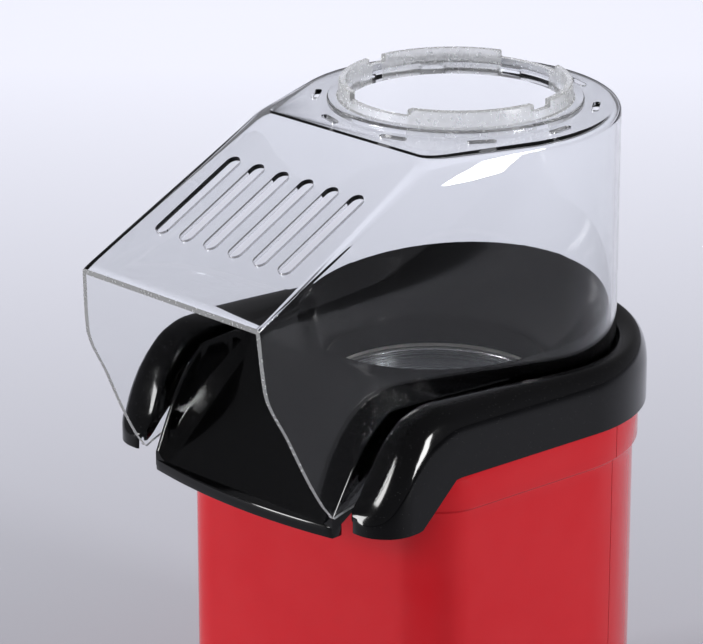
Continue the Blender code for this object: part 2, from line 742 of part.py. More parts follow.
def cover_ring(height, inset, reach=0.0, level=None):
    """Plan outline of the cover at a height: round behind, tangent side walls, straight front."""
    x, y = cover_edge(height)
    radius = COVER_R
    corner_angle = math.atan2(-y, x)
    tangent = math.degrees(corner_angle + math.acos(radius / math.hypot(x, y)))
    angle = math.radians(tangent)
    out = (math.cos(angle), math.sin(angle))
    along = (math.sin(angle), -math.cos(angle))
    length = math.hypot(x - radius * out[0], -y - radius * out[1])
    length += reach - (inset if height >= ROOF_FRONT_Z and reach == 0 else 0)
    shell = radius - inset
    points = arc(0, 0, shell, tangent, 180 - tangent, 28)
    end = (shell * out[0] + along[0] * length, shell * out[1] + along[1] * length)
    points = [end] + points + [(-end[0], end[1])]
    level = height if level is None else level
    return [(px, py, level) for px, py in points]


def make_cover():
    side = ROOF_FRONT_Z - TIP_Z
    levels = [TIP_Z - 5 * MM] + [TIP_Z + side * part for part in (0, 0.09, 0.19, 0.31, 0.44, 0.7, 1)]
    levels += [ROOF_FRONT_Z + ROOF_DROP * part for part in (0.25, 0.5, 0.75, 1)]
    cover = loft("clear_cover", [cover_ring(z, 0) for z in levels], "clear_san")
    drop = COVER_T * math.hypot(COVER_TOP - ROOF_FRONT_Z, ROOF_FRONT_Y - CREASE_Y) / (ROOF_FRONT_Y - CREASE_Y)
    inner = [cover_ring(z, COVER_T, reach=20 * MM) for z in levels[:7]]
    inner.insert(0, [(x, y, z - 10 * MM) for x, y, z in inner[0]])
    inner.append(cover_ring(ROOF_FRONT_Z - 0.01 * MM, COVER_T, 20 * MM, ROOF_FRONT_Z - drop - 4 * MM))
    inner += [cover_ring(z, COVER_T, 0.001 * MM, z - drop) for z in levels[7:-1]]
    inner.append(cover_ring(COVER_TOP - COVER_T + drop, COVER_T, 0.001 * MM, COVER_TOP - COVER_T))
    boolean(cover, loft("cover_space", inner, None))
    boolean(cover, cover_foot_cutter())
    boolean(cover, ring_solid(), "UNION")
    boolean(cover, cylinder("ring_hole", RING_HOLE_R, 0.03, None, (0, 0, COVER_TOP), segments=SEGMENTS))
    boolean(cover, merged("cover_slots", roof_slots() + plate_vents() + ring_gaps()))


def cover_foot_cutter():
    """Everything below the cover's lower edge, which rises a little and then runs down to the tips."""
    line = [(50, 0), (30, 3.2), (16, 2.7), (7, -1.8), (-1, -9.8), (-6, -18.8)]
    edge = [(0.1, COVER_FOOT)]
    edge += [(-WING_FOOT_Y + ahead * MM, COVER_FOOT + rise * MM) for ahead, rise in line if ahead]
    edge += [
        (4 * MM - TIP_Y, TIP_Z + 1 * MM), (-TIP_Y, TIP_Z - 0.1 * MM), (-0.3, TIP_Z - 0.1 * MM),
        (-0.3, 0.05), (0.1, 0.05),
    ]
    return prism_x("cover_foot", edge, 0.1, None)


def ring_solid():
    """The ring with its wider foot, still without its hole."""
    top = COVER_TOP
    bore = RING_HOLE_R - 2 * MM
    profile = [
        (RING_FLANGE_R, top + RING_FLANGE_H - 0.5 * MM), (RING_FLANGE_R, top - 0.6 * MM),
        (bore, top - 0.6 * MM), (bore, top + RING_H + RING_TAB_H),
        (RING_R, top + RING_H + RING_TAB_H), (RING_R, top + RING_FLANGE_H),
        (RING_FLANGE_R - 0.5 * MM, top + RING_FLANGE_H),
    ]
    return turned_mesh("ring_solid", profile, None, (0, 0, 0))


def ring_gaps():
    """The dips between the ring's four raised tabs: wide in front and behind, slim at the sides."""
    cuts = []
    for x, y, angle in around(RING_R, 4):
        width = RING_WIDE_DIP if abs(y) > abs(x) else RING_SLIM_DIP
        at = (x, y, COVER_TOP + RING_H + RING_TAB_H)
        cuts.append(box("c", (14 * MM, width, 2 * RING_TAB_H), None, at, (0, 0, angle)))
    return cuts


def roof_slots():
    slope = math.atan2(COVER_TOP - ROOF_FRONT_Z, ROOF_FRONT_Y - CREASE_Y)
    run = ROOF_SLOT_END - ROOF_SLOT_START
    middle = (ROOF_SLOT_START + ROOF_SLOT_END) / 2
    length = run / math.cos(slope)
    cuts = []
    for index in range(ROOF_SLOTS):
        x = (index - (ROOF_SLOTS - 1) / 2) * ROOF_SLOT_PITCH
        at = (x, -CREASE_Y - middle, COVER_TOP - middle * math.tan(slope))
        cuts.append(slot_solid(length, ROOF_SLOT_W, 8 * MM, at, (0, slope, -math.pi / 2)))
    return cuts


def slot_solid(length, width, depth, at, turn):
    """A round-ended slot along its local X axis."""
    half = (length - width) / 2
    outline = arc(half, 0, width / 2, -90, 90, 5) + arc(-half, 0, width / 2, 90, 270, 5)
    piece = prism_z("c", outline, -depth / 2, depth / 2, None)
    piece.location = at
    piece.rotation_euler = turn
    return piece


def plate_vents():
    cuts = []
    for x, y, angle in around(PLATE_VENT_R, PLATE_VENTS):
        at = (x, y, COVER_TOP)
        cuts.append(slot_solid(PLATE_VENT_L, PLATE_VENT_W, 8 * MM, at, (0, 0, angle + math.pi / 2)))
    return cuts


# ---------------------------------------------------------------- chamber, gasket, duct

def make_chamber():
    top, floor, wall = CHAMBER_TOP, CHAMBER_FLOOR, CHAMBER_T
    round_r = CHAMBER_ROUND
    profile = [
        (CHAMBER_R - wall, top), (FLANGE_R, top), (FLANGE_R, top - FLANGE_T), (CHAMBER_R, top - FLANGE_T),
        (CHAMBER_R, floor + round_r), (CHAMBER_R - 0.3 * round_r, floor + 0.3 * round_r),
        (CHAMBER_R - round_r, floor), (14 * MM, floor), (10 * MM, floor + CHAMBER_DOME),
        (0, floor + CHAMBER_DOME),
        (0, floor + CHAMBER_DOME + wall), (11 * MM, floor + CHAMBER_DOME + wall), (15 * MM, floor + wall),
        (CHAMBER_R - round_r, floor + wall), (CHAMBER_R - wall - 0.3 * round_r, floor + wall + 0.3 * round_r),
        (CHAMBER_R - wall, floor + wall + round_r),
    ]
    chamber = turned_mesh("popping_chamber", profile, "aluminium", (0, CORE_Y, 0))
    cuts = []
    for x, y, angle in around(CHAMBER_R, LOUVRES, 0, CORE_Y):
        at = (x, y, floor + 14 * MM)
        cuts.append(box("c", (8 * MM, LOUVRE_W, LOUVRE_H), None, at, (math.radians(20), 0, angle)))
    boolean(chamber, merged("chamber_openings", cuts + screw_holes(tie_spots(), 6 * MM, top)))


def turned_mesh(name, profile, finish, at, steps=SEGMENTS):
    """A closed profile turned about Z as a plain mesh, in which edges along the axis vanish."""
    bm = bmesh.new()
    verts = [bm.verts.new((r, 0, z)) for r, z in profile]
    edges = [bm.edges.new(pair) for pair in zip(verts, verts[1:])]
    edges.append(bm.edges.new((verts[-1], verts[0])))
    bmesh.ops.spin(bm, geom=verts + edges, axis=(0, 0, 1), cent=(0, 0, 0), steps=steps, angle=2 * math.pi,
                   use_merge=True)
    bmesh.ops.remove_doubles(bm, verts=bm.verts, dist=0.00001)
    loose = [edge for edge in bm.edges if not edge.link_faces]
    bmesh.ops.delete(bm, geom=loose, context="EDGES")
    return mesh_object(name, bm, finish, at)


def make_gasket():
    low = CHAMBER_TOP + GAP
    inner, outer = CHAMBER_R + 0.6 * MM, FLANGE_R
    profile = [(inner, low), (outer, low), (outer, low + GASKET_T), (inner, low + GASKET_T)]
    gasket = turned_mesh("chamber_gasket", profile, "silicone", (0, CORE_Y, 0))
    boolean(gasket, merged("gasket_holes", screw_holes(tie_spots(), 6 * MM, low)))


def make_duct():
    foot = DECK_Z + DECK_T + GAP
    profile = [
        (DUCT_R - DUCT_T, DUCT_TOP), (FLANGE_R, DUCT_TOP), (FLANGE_R, DUCT_TOP - DUCT_T),
        (DUCT_R, DUCT_TOP - DUCT_T),
        (DUCT_R, foot + DUCT_T), (DUCT_R + DUCT_FOOT_W, foot + DUCT_T), (DUCT_R + DUCT_FOOT_W, foot),
        (DUCT_R - DUCT_T, foot),
    ]
    duct = turned_mesh("air_duct", profile, "steel", (0, CORE_Y, 0))
    boolean(duct, merged("duct_holes", screw_holes(tie_spots(), 6 * MM, DUCT_TOP)))


def make_tie_screws():
    head = DUCT_TOP - DUCT_T - GAP
    for index, (x, y, angle) in enumerate(tie_spots()):
        pan_screw(f"chamber_screw_{index + 1}", 8 * MM, (x, y, head))


def motor_screw_spots():
    return [(-MOTOR_SCREW_R, CORE_Y), (MOTOR_SCREW_R, CORE_Y)]


def make_deck():
    """The plate that carries the motor below and the duct above."""
    at = (0, CORE_Y, DECK_Z + DECK_T / 2)
    deck = cylinder("motor_deck", DECK_R, DECK_T, "black_abs", at, segments=SEGMENTS)
    cuts = screw_holes(post_spots() + motor_screw_spots(), 9 * MM, DECK_Z)
    cuts.append(cylinder("c", 5 * MM, 9 * MM, None, (0, CORE_Y, DECK_Z), segments=20))
    for x, y, angle in around(31 * MM, 12, 15, CORE_Y):
        cuts.append(box("c", (19 * MM, 8 * MM, 9 * MM), None, (x, y, DECK_Z), (0, 0, angle)))
    cutter = merged("deck_openings", cuts)
    boolean(deck, cutter)


def make_deck_screws():
    for index, (x, y) in enumerate(post_spots()):
        pan_screw(f"deck_screw_{index + 1}", 9 * MM, (x, y, DECK_Z + DECK_T + GAP), up=False)


# ---------------------------------------------------------------- heater

def make_mica_boards():
    for name, turn, side in (("mica_board_long", 0, 1), ("mica_board_cross", math.pi / 2, -1)):
        at = (0, CORE_Y, MICA_Z + MICA_H / 2)
        board = box(name, (2 * MICA_HALF, MICA_T, MICA_H), "mica", at, (0, 0, turn))
        half = box("c", (MICA_T + 2 * GAP, 4 * MM, MICA_H), None, (0, 0, side * MICA_H / 2))
        notches = [half]
        for x in (-COIL_RING, COIL_RING):
            notches.append(box("c", (2 * COIL_R + 3 * MM, 4 * MM, 2 * COIL_NOTCH), None, (x, 0, MICA_H / 2)))
        cutter = merged(f"{name}_notches", notches)
        cutter.location = board.location
        cutter.rotation_euler = board.rotation_euler
        boolean(board, cutter)


def make_coil():
    """The heating wire, wound small and laid in a ring, its loops resting in the notches of the boards."""
    steps = COIL_LOOPS * 6
    points = []
    middle = MICA_Z + MICA_H - COIL_NOTCH + GAP + COIL_WIRE + COIL_R
    for i in range(steps - 5):
        ring = 2 * math.pi * (i + 3) / steps
        wind = COIL_LOOPS * ring - math.pi / 2
        radius = COIL_RING + COIL_R * math.cos(wind)
        points.append((radius * math.cos(ring), radius * math.sin(ring), middle + COIL_R * math.sin(wind)))
    curve = bpy.data.curves.new("heating_coil", "CURVE")
    curve.dimensions = "3D"
    curve.bevel_depth = COIL_WIRE
    curve.bevel_resolution = 0
    curve.use_fill_caps = True
    spline = curve.splines.new("POLY")
    spline.points.add(len(points) - 1)
    for spot, point in zip(spline.points, points):
        spot.co = (*point, 1)
    place(bpy.data.objects.new("heating_coil", curve), "nichrome", (0, CORE_Y, 0))


def make_thermostat():
    x = DUCT_R + GAP
    height = CHAMBER_FLOOR + 16 * MM
    profile = [(0, 7 * MM), (3.4 * MM, 7 * MM), (3.4 * MM, 5 * MM), (8 * MM, 5 * MM), (8 * MM, 0), (0, 0)]
    turned("thermostat", profile, "black_abs", (x, CORE_Y, height), (0, math.pi / 2, 0), steps=24)
    profile = [
        (0, 6.5 * MM), (1.2 * MM, 6.5 * MM), (2.2 * MM, 5 * MM), (2.2 * MM, -5 * MM), (1.2 * MM, -6.5 * MM),
        (0, -6.5 * MM),
    ]
    turned("thermal_fuse", profile, "steel", (-x - 2.2 * MM, CORE_Y, height), steps=16)


# ---------------------------------------------------------------- fan and motor

def make_fan():
    profile = [
        (SHAFT_BORE, FAN_H), (HUB_R - 1 * MM, FAN_H), (HUB_R, FAN_H - 1 * MM), (HUB_R, FAN_PLATE),
        (FAN_R, FAN_PLATE), (FAN_R, 0), (SHAFT_BORE, 0),
    ]
    fan = turned_mesh("fan", profile, "fan_nylon", (0, CORE_Y, FAN_Z))
    length = FAN_R - HUB_R - 0.4 * MM
    for index, (x, y, angle) in enumerate(around(HUB_R - 0.6 * MM + length / 2, FAN_BLADES)):
        height = FAN_H - 2 * FAN_PLATE
        at = (x, CORE_Y + y, FAN_Z + FAN_PLATE / 2 + height / 2)
        blade = box(f"fan_blade_{index}", (length, BLADE_T, height), None, at, (0, 0, angle))
        boolean(fan, blade, "UNION")


def make_shaft():
    low = MOTOR_TOP - SHAFT_SEAT
    high = FAN_Z + FAN_H + 2 * MM
    at = (0, CORE_Y, (low + high) / 2)
    cylinder("motor_shaft", SHAFT_R, high - low, "steel", at, segments=20)


def make_motor():
    top, low = MOTOR_TOP, MOTOR_FOOT
    blind = top - SHAFT_SEAT - 1 * MM
    profile = [
        (SHAFT_BORE, top), (MOTOR_R - 2 * MM, top), (MOTOR_R, top - 2 * MM), (MOTOR_R, low + 2 * MM),
        (MOTOR_R - 2 * MM, low), (0, low), (0, blind), (SHAFT_BORE, blind),
    ]
    motor = turned_mesh("motor", profile, "steel", (0, CORE_Y, 0), steps=36)
    boolean(motor, merged("motor_holes", screw_holes(motor_screw_spots(), 12 * MM, top)))
    for index, (x, y) in enumerate(motor_screw_spots()):
        pan_screw(f"motor_screw_{index + 1}", 6 * MM, (x, y, DECK_Z + DECK_T + GAP), up=False)


def make_rectifier():
    top = MOTOR_FOOT - GAP
    low = top - BOARD_T
    cylinder("rectifier_board", BOARD_R, BOARD_T, "laminate", (0, CORE_Y, (top + low) / 2), segments=32)
    for index in range(DIODES):
        x = (index - (DIODES - 1) / 2) * DIODE_PITCH
        at = (x, CORE_Y, low - GAP - DIODE_R)
        cylinder(f"diode_{index + 1}", DIODE_R, DIODE_L, "black_abs", at, (math.pi / 2, 0, 0), segments=10)


# ---------------------------------------------------------------- switch and cord inlet

def make_switch():
    face = BODY_R + GAP
    depth = SWITCH_DEPTH
    housing = box("switch_housing", (SWITCH_W, depth, SWITCH_H), "black_abs", (0, face - depth / 2, SWITCH_Z))
    size = (SWITCH_W + 2 * SWITCH_LAP, SWITCH_FLANGE, SWITCH_H + 2 * SWITCH_LAP)
    flange = box("switch_flange", size, None, (0, face + SWITCH_FLANGE / 2 - 0.05 * MM, SWITCH_Z))
    boolean(housing, flange, "UNION")
    size = (ROCKER_W + 2 * GAP, 2.5 * ROCKER_R, ROCKER_H + 1.6 * MM)
    pocket = box("switch_pocket", size, None, (0, face, SWITCH_Z))
    boolean(housing, pocket)
    outline = arc(0, 0, ROCKER_R, 200, 340, 8) + [(ROCKER_H / 2, 1 * MM), (ROCKER_H / 2, 2.6 * MM)]
    outline += [(0, 1.4 * MM), (-ROCKER_H / 2, 2.6 * MM), (-ROCKER_H / 2, 1 * MM)]
    rocker = prism_x("power_rocker", outline, ROCKER_W / 2, "black_abs")
    rocker.location = (0, face, SWITCH_Z)
    rocker.rotation_euler = (math.pi / 2 + ROCKER_TILT, 0, math.pi)


def make_gland():
    ring = GLAND_BORE + GLAND_WALL
    profile = [
        (GLAND_BORE, 3 * MM), (GLAND_R - 1 * MM, 3 * MM), (GLAND_R, 2 * MM), (GLAND_R, GAP + 0.3 * MM),
        (ring, GAP + 0.3 * MM), (ring, -WALL - 2 * GAP), (GLAND_R - 0.5 * MM, -WALL - 2 * GAP),
        (GLAND_R - 0.5 * MM, -WALL - 2 * MM), (GLAND_BORE, -WALL - 2 * MM),
    ]
    gland = turned_mesh("cord_gland", profile, "rubber", (0, BODY_R, GLAND_Z), steps=28)
    gland.rotation_euler = (-math.pi / 2, 0, 0)


def make_shell_screws():
    for index, (x, y) in enumerate(shell_screw_spots()):
        pan_screw(f"base_screw_{index + 1}", 15 * MM, (x, y, FOOT_H + 2 * MM - GAP))


def main():
    make_base()
    make_feet()
    make_front_shell()
    make_rear_shell()
    make_collar()
    make_bowl()
    make_cover()
    make_chamber()
    make_gasket()
    make_duct()
    make_tie_screws()
    make_deck()
    make_deck_screws()
    make_mica_boards()
    make_coil()
    make_thermostat()
    make_fan()
    make_shaft()
    make_motor()
    make_rectifier()
    make_switch()
    make_gland()
    make_shell_screws()


main()
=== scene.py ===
"""Finished looks of a small hot-air popcorn maker, built around its packed design frame.

Lengths are metres. Shapes are drawn about the round cover's upright axis, with the chute towards -Y,
and each finished mesh is then moved to that axis's place in the frame.
"""

import math

import bmesh
import bpy
from mathutils import Matrix, Vector


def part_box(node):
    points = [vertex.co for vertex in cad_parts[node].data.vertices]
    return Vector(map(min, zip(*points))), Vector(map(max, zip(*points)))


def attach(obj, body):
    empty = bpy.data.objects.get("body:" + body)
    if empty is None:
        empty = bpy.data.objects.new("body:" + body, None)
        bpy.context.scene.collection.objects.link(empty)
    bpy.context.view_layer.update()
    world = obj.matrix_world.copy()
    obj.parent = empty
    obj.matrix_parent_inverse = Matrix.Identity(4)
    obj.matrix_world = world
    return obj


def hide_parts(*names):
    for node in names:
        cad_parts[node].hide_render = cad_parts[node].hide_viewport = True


bl_info = {
    "name": "Popcorn maker",
    "version": (1, 0, 0),
    "blender": (4, 5, 0),
    "location": "View3D > Sidebar > Popcorn maker",
    "description": "Makes the finished pieces of a small hot-air popcorn maker, and a studio stage",
    "category": "Object",
}

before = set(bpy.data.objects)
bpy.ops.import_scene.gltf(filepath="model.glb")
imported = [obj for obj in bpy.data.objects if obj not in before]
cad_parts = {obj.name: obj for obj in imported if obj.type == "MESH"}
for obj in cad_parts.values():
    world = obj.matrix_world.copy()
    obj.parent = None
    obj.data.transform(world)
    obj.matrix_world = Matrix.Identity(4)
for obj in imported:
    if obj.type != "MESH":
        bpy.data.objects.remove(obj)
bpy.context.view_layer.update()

MM = 0.001
GAP = 0.3 * MM                # clearance between touching pieces
SAME_PLACE = 0.001 * MM       # points this near are one point
ROUND = 48                    # steps of a half turn on a large round piece

# places read from the frame, about the cover's upright axis
CAGE = {name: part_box(name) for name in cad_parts}
COLLAR_R = CAGE["collar"][1].x
AXIS_Y = CAGE["collar"][1].y - COLLAR_R
CORE_Y = (CAGE["motor_deck"][0].y + CAGE["motor_deck"][1].y) / 2 - AXIS_Y
FOOT_H = CAGE["base_plate"][0].z
SHELL_FOOT = CAGE["front_shell"][0].z
COVER_R = CAGE["clear_cover"][1].y - AXIS_Y
RING_TOP = CAGE["clear_cover"][1].z
TIP_Z = CAGE["clear_cover"][0].z
ROOF_FRONT_Y = AXIS_Y - CAGE["clear_cover"][0].y
WING_FRONT = AXIS_Y - CAGE["collar"][0].y
WING_FOOT_Z = CAGE["collar"][0].z
BOWL_FOOT_Z = CAGE["bowl_and_chute"][0].z
CHAMBER_TOP = CAGE["popping_chamber"][1].z
CHAMBER_FLOOR = CAGE["popping_chamber"][0].z
DECK_Z = CAGE["motor_deck"][0].z
DUCT_TOP = CAGE["air_duct"][1].z
SWITCH_Z = (CAGE["switch_housing"][0].z + CAGE["switch_housing"][1].z) / 2
GLAND_Z = (CAGE["cord_gland"][0].z + CAGE["cord_gland"][1].z) / 2


# -------- sizes and colours a user may change

def length(label, text, value):
    return bpy.props.FloatProperty(
        name=label, description=text, default=value, subtype="DISTANCE", unit="LENGTH", precision=4,
    )


def colour(label, text, code):
    return bpy.props.FloatVectorProperty(
        name=label, description=text, default=linear(code), subtype="COLOR", size=3, min=0, max=1,
    )


def linear(code):
    """Linear red, green and blue of an sRGB hex colour."""
    parts = [int(code[i:i + 2], 16) / 255 for i in (0, 2, 4)]
    return [part / 12.92 if part <= 0.04045 else ((part + 0.055) / 1.055) ** 2.4 for part in parts]


class PopcornBodySizes(bpy.types.PropertyGroup):
    wall: length("Wall", "Wall of the red shells", 2.2 * MM)
    corner: length("Corner", "Radius of the body's front corners, seen from above", 20 * MM)
    front: length("Front", "From the cover's axis to the body's flat front", 82.3 * MM)
    collar_outset: length("Collar outset", "Collar outside the red body", 4.9 * MM)
    band: length("Band", "Height of the thicker band under the collar", 15.9 * MM)
    band_outset: length("Band outset", "Band outside the red body", 1.9 * MM)
    seam: length("Seam", "Place of the joint between the two shells, behind the cover's axis", 17 * MM)


class PopcornCoverSizes(bpy.types.PropertyGroup):
    wall: length("Wall", "Wall of the clear cover", 2 * MM)
    shoulder: length("Shoulder", "Rounding between the flat top and the round wall", 3.2 * MM)
    roof_edge: length("Roof edge", "Rounding of the hood's long edges at the mouth", 1.3 * MM)
    roof_corner: length("Roof corner", "Rounding of the hood's long edges at the flat top", 5 * MM)
    slots: bpy.props.IntProperty(name="Slots", description="Slots in the hood's roof", default=6, min=1)
    slot_width: length("Slot width", "Width of a roof slot", 6 * MM)
    slot_pitch: length("Slot pitch", "From one roof slot to the next", 12.84 * MM)
    vents: bpy.props.IntProperty(name="Vents", description="Vents round the ring", default=10, min=1)


class PopcornColours(bpy.types.PropertyGroup):
    body: colour("Body", "Red of the shells", "C8141F")
    trim: colour("Trim", "Black of the collar, bowl and chute", "060607")
    base: colour("Base", "Black of the base plate", "161618")
    clear: colour("Cover", "Tint of the clear cover", "FBFCFD")
    floor: colour("Floor", "Pale floor of the stage", "DCDDE8")


def chosen(group):
    """The user's sizes of the body or the cover, or the colours."""
    return getattr(bpy.context.scene, "popcorn_" + group)


# -------- mesh helpers

def follow(points, at):
    """Height on a polyline of (place, height) pairs."""
    for (a, low), (b, high) in zip(points, points[1:]):
        if (at - a) * (at - b) <= 0 and a != b:
            return low + (high - low) * (at - a) / (b - a)
    return points[0][1] if abs(at - points[0][0]) < abs(at - points[-1][0]) else points[-1][1]


def smooth(points, at):
    """Height on a smooth curve through (place, height) pairs, which never swings past them."""
    points = sorted(points)
    if at <= points[0][0]:
        return points[0][1]
    if at >= points[-1][0]:
        return points[-1][1]
    slopes = [(b[1] - a[1]) / (b[0] - a[0]) for a, b in zip(points, points[1:])]
    leans = [slopes[0]]
    for before, after in zip(slopes, slopes[1:]):
        leans.append(2 * before * after / (before + after) if before * after > 0 else 0)
    leans.append(slopes[-1])
    for (a, low), (b, high), lean_a, lean_b in zip(points, points[1:], leans, leans[1:]):
        if at <= b:
            span = b - a
            t = (at - a) / span
            keep = (1 + 2 * t) * (1 - t) ** 2 * low + t * t * (3 - 2 * t) * high
            return keep + span * (t * (1 - t) ** 2 * lean_a - t * t * (1 - t) * lean_b)


def arc(centre_x, centre_y, radius, start, end, steps):
    """Points on an arc, angles in degrees, both ends included."""
    points = []
    for i in range(steps + 1):
        angle = math.radians(start + (end - start) * i / steps)
        points.append((centre_x + radius * math.cos(angle), centre_y + radius * math.sin(angle)))
    return points


def around(radius, count, start=0.0, centre_y=0.0):
    """count spots on a circle, each as (x, y, angle)."""
    spots = []
    for i in range(count):
        angle = math.radians(start) + 2 * math.pi * i / count
        spots.append((radius * math.cos(angle), centre_y + radius * math.sin(angle), angle))
    return spots


def new_object(name, bm):
    bmesh.ops.recalc_face_normals(bm, faces=bm.faces)
    mesh = bpy.data.meshes.new(name)
    bm.to_mesh(mesh)
    bm.free()
    obj = bpy.data.objects.new(name, mesh)
    bpy.context.scene.collection.objects.link(obj)
    return obj


def moved(obj, at=(0, 0, 0), turn=(0, 0, 0)):
    """Turns and shifts the mesh itself, so that the object stays at the origin."""
    matrix = Matrix.Translation(at)
    for axis, angle in zip("XYZ", turn):
        matrix = matrix @ Matrix.Rotation(angle, 4, axis)
    obj.data.transform(matrix)
    return obj


def skin(name, rings, closed=False, capped=True, skip=()):
    """Faces between rings of equal point count. skip lists (ring, point) places left open."""
    bm = bmesh.new()
    rows = [[bm.verts.new(point) for point in ring] for ring in rings]
    count = len(rows[0])
    pairs = list(zip(rows, rows[1:]))
    if closed:
        pairs.append((rows[-1], rows[0]))
    for level, (low, high) in enumerate(pairs):
        for i in range(count):
            j = (i + 1) % count
            if (level, i) not in skip:
                bm.faces.new((low[i], low[j], high[j], high[i]))
    if capped and not closed:
        bm.faces.new(rows[0])
        bm.faces.new(rows[-1])
    bmesh.ops.remove_doubles(bm, verts=bm.verts, dist=SAME_PLACE)
    return new_object(name, bm)


def turned(name, profile, centre_y=0.0, steps=2 * ROUND):
    """A closed profile of (radius, height) turned about an upright axis."""
    rings = []
    for i in range(steps):
        angle = 2 * math.pi * i / steps
        rings.append([(r * math.cos(angle), r * math.sin(angle), z) for r, z in profile])
    bm = bmesh.new()
    rows = [[bm.verts.new(point) for point in ring] for ring in rings]
    count = len(profile)
    for i, row in enumerate(rows):
        other = rows[(i + 1) % steps]
        for j in range(count):
            k = (j + 1) % count
            if profile[j][0] > 0 or profile[k][0] > 0:
                bm.faces.new((row[j], other[j], other[k], row[k]))
    bmesh.ops.remove_doubles(bm, verts=bm.verts, dist=SAME_PLACE)
    bmesh.ops.dissolve_degenerate(bm, edges=bm.edges, dist=SAME_PLACE / 10)
    return moved(new_object(name, bm), (0, centre_y, 0))


def block(name, size, at, turn=(0, 0, 0), rounding=0.0):
    """A box with rounded edges."""
    bm = bmesh.new()
    bmesh.ops.create_cube(bm, size=1)
    bmesh.ops.scale(bm, vec=size, verts=bm.verts)
    if rounding:
        bmesh.ops.bevel(bm, geom=bm.edges, offset=rounding, segments=3, profile=0.5, affect="EDGES")
    return moved(new_object(name, bm), at, turn)


def rod(name, radius, height, at, turn=(0, 0, 0), steps=32):
    """An upright cylinder, centred on its place before it is turned."""
    bm = bmesh.new()
    bmesh.ops.create_cone(bm, cap_ends=True, segments=steps, radius1=radius, radius2=radius, depth=height)
    return moved(new_object(name, bm), at, turn)


def prism(name, outline, low, high, along="Z"):
    """A flat outline carried along an axis. Along X the outline is (y, z), else it is (x, y)."""
    ends = []
    for place in (low, high):
        ends.append([(place, a, b) if along == "X" else (a, b, place) for a, b in outline])
    return skin(name, ends)


def plain(obj):
    """Turns the object's modifiers into its own mesh."""
    bpy.context.view_layer.update()
    graph = bpy.context.evaluated_depsgraph_get()
    mesh = bpy.data.meshes.new_from_object(obj.evaluated_get(graph))
    obj.modifiers.clear()
    obj.data = mesh
    return obj


def combine(obj, *others, operation="DIFFERENCE"):
    """Cuts the others from a piece, or joins them to it, and removes them."""
    for other in others:
        step = obj.modifiers.new("Combine", "BOOLEAN")
        step.operation = operation
        step.object = other
        step.solver = "MANIFOLD"
        plain(obj)
        bpy.data.objects.remove(other, do_unlink=True)
    return obj


def rounded(obj, width):
    """Rounds the sharp edges of a simple shape."""
    step = obj.modifiers.new("Rounding", "BEVEL")
    step.width = width
    step.segments = 2
    step.limit_method = "ANGLE"
    step.angle_limit = math.radians(50)
    return plain(obj)


def ready(obj, material, body, nodes, sharp=32):
    """Finishes a piece: in place, shaded, painted, riding on its body, and standing for its CAD nodes."""
    moved(obj, (0, AXIS_Y, 0))
    obj.data.materials.clear()
    obj.data.materials.append(material)
    obj.data.shade_smooth()
    obj.data.set_sharp_from_angle(angle=math.radians(sharp))
    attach(obj, body)
    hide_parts(*nodes)
    return obj


# -------- node helper and repeated shapes

def add(tree, kind, inputs=(), **settings):
    """Adds a node with its settings. An input is a socket to link or a value to set."""
    node = tree.nodes.new(kind)
    for name, value in settings.items():
        setattr(node, name, value)
    for key, value in dict(inputs).items():
        if isinstance(value, bpy.types.NodeSocket):
            tree.links.new(value, node.inputs[key])
        else:
            node.inputs[key].default_value = value
    return node


def start_tree(name, sockets):
    """An empty Geometry Nodes tree with its named inputs, and its input node."""
    tree = bpy.data.node_groups.new(name, "GeometryNodeTree")
    tree.interface.new_socket("Geometry", in_out="OUTPUT", socket_type="NodeSocketGeometry")
    tree.interface.new_socket("Geometry", in_out="INPUT", socket_type="NodeSocketGeometry")
    for label, kind in sockets:
        tree.interface.new_socket(label, in_out="INPUT", socket_type=kind)
    return tree, add(tree, "NodeGroupInput")


def end_tree(tree, points, given, turn):
    """Puts the piece on each point, realised and painted."""
    piece = add(tree, "GeometryNodeObjectInfo", {"Object": given.outputs["Piece"]})
    copies = add(tree, "GeometryNodeInstanceOnPoints",
                 {"Points": points, "Instance": piece.outputs["Geometry"], "Rotation": turn})
    real = add(tree, "GeometryNodeRealizeInstances", {"Geometry": copies.outputs["Instances"]})
    paint = add(tree, "GeometryNodeSetMaterial",
                {"Geometry": real.outputs["Geometry"], "Material": given.outputs["Material"]})
    add(tree, "NodeGroupOutput", {"Geometry": paint.outputs["Geometry"]})
    return tree


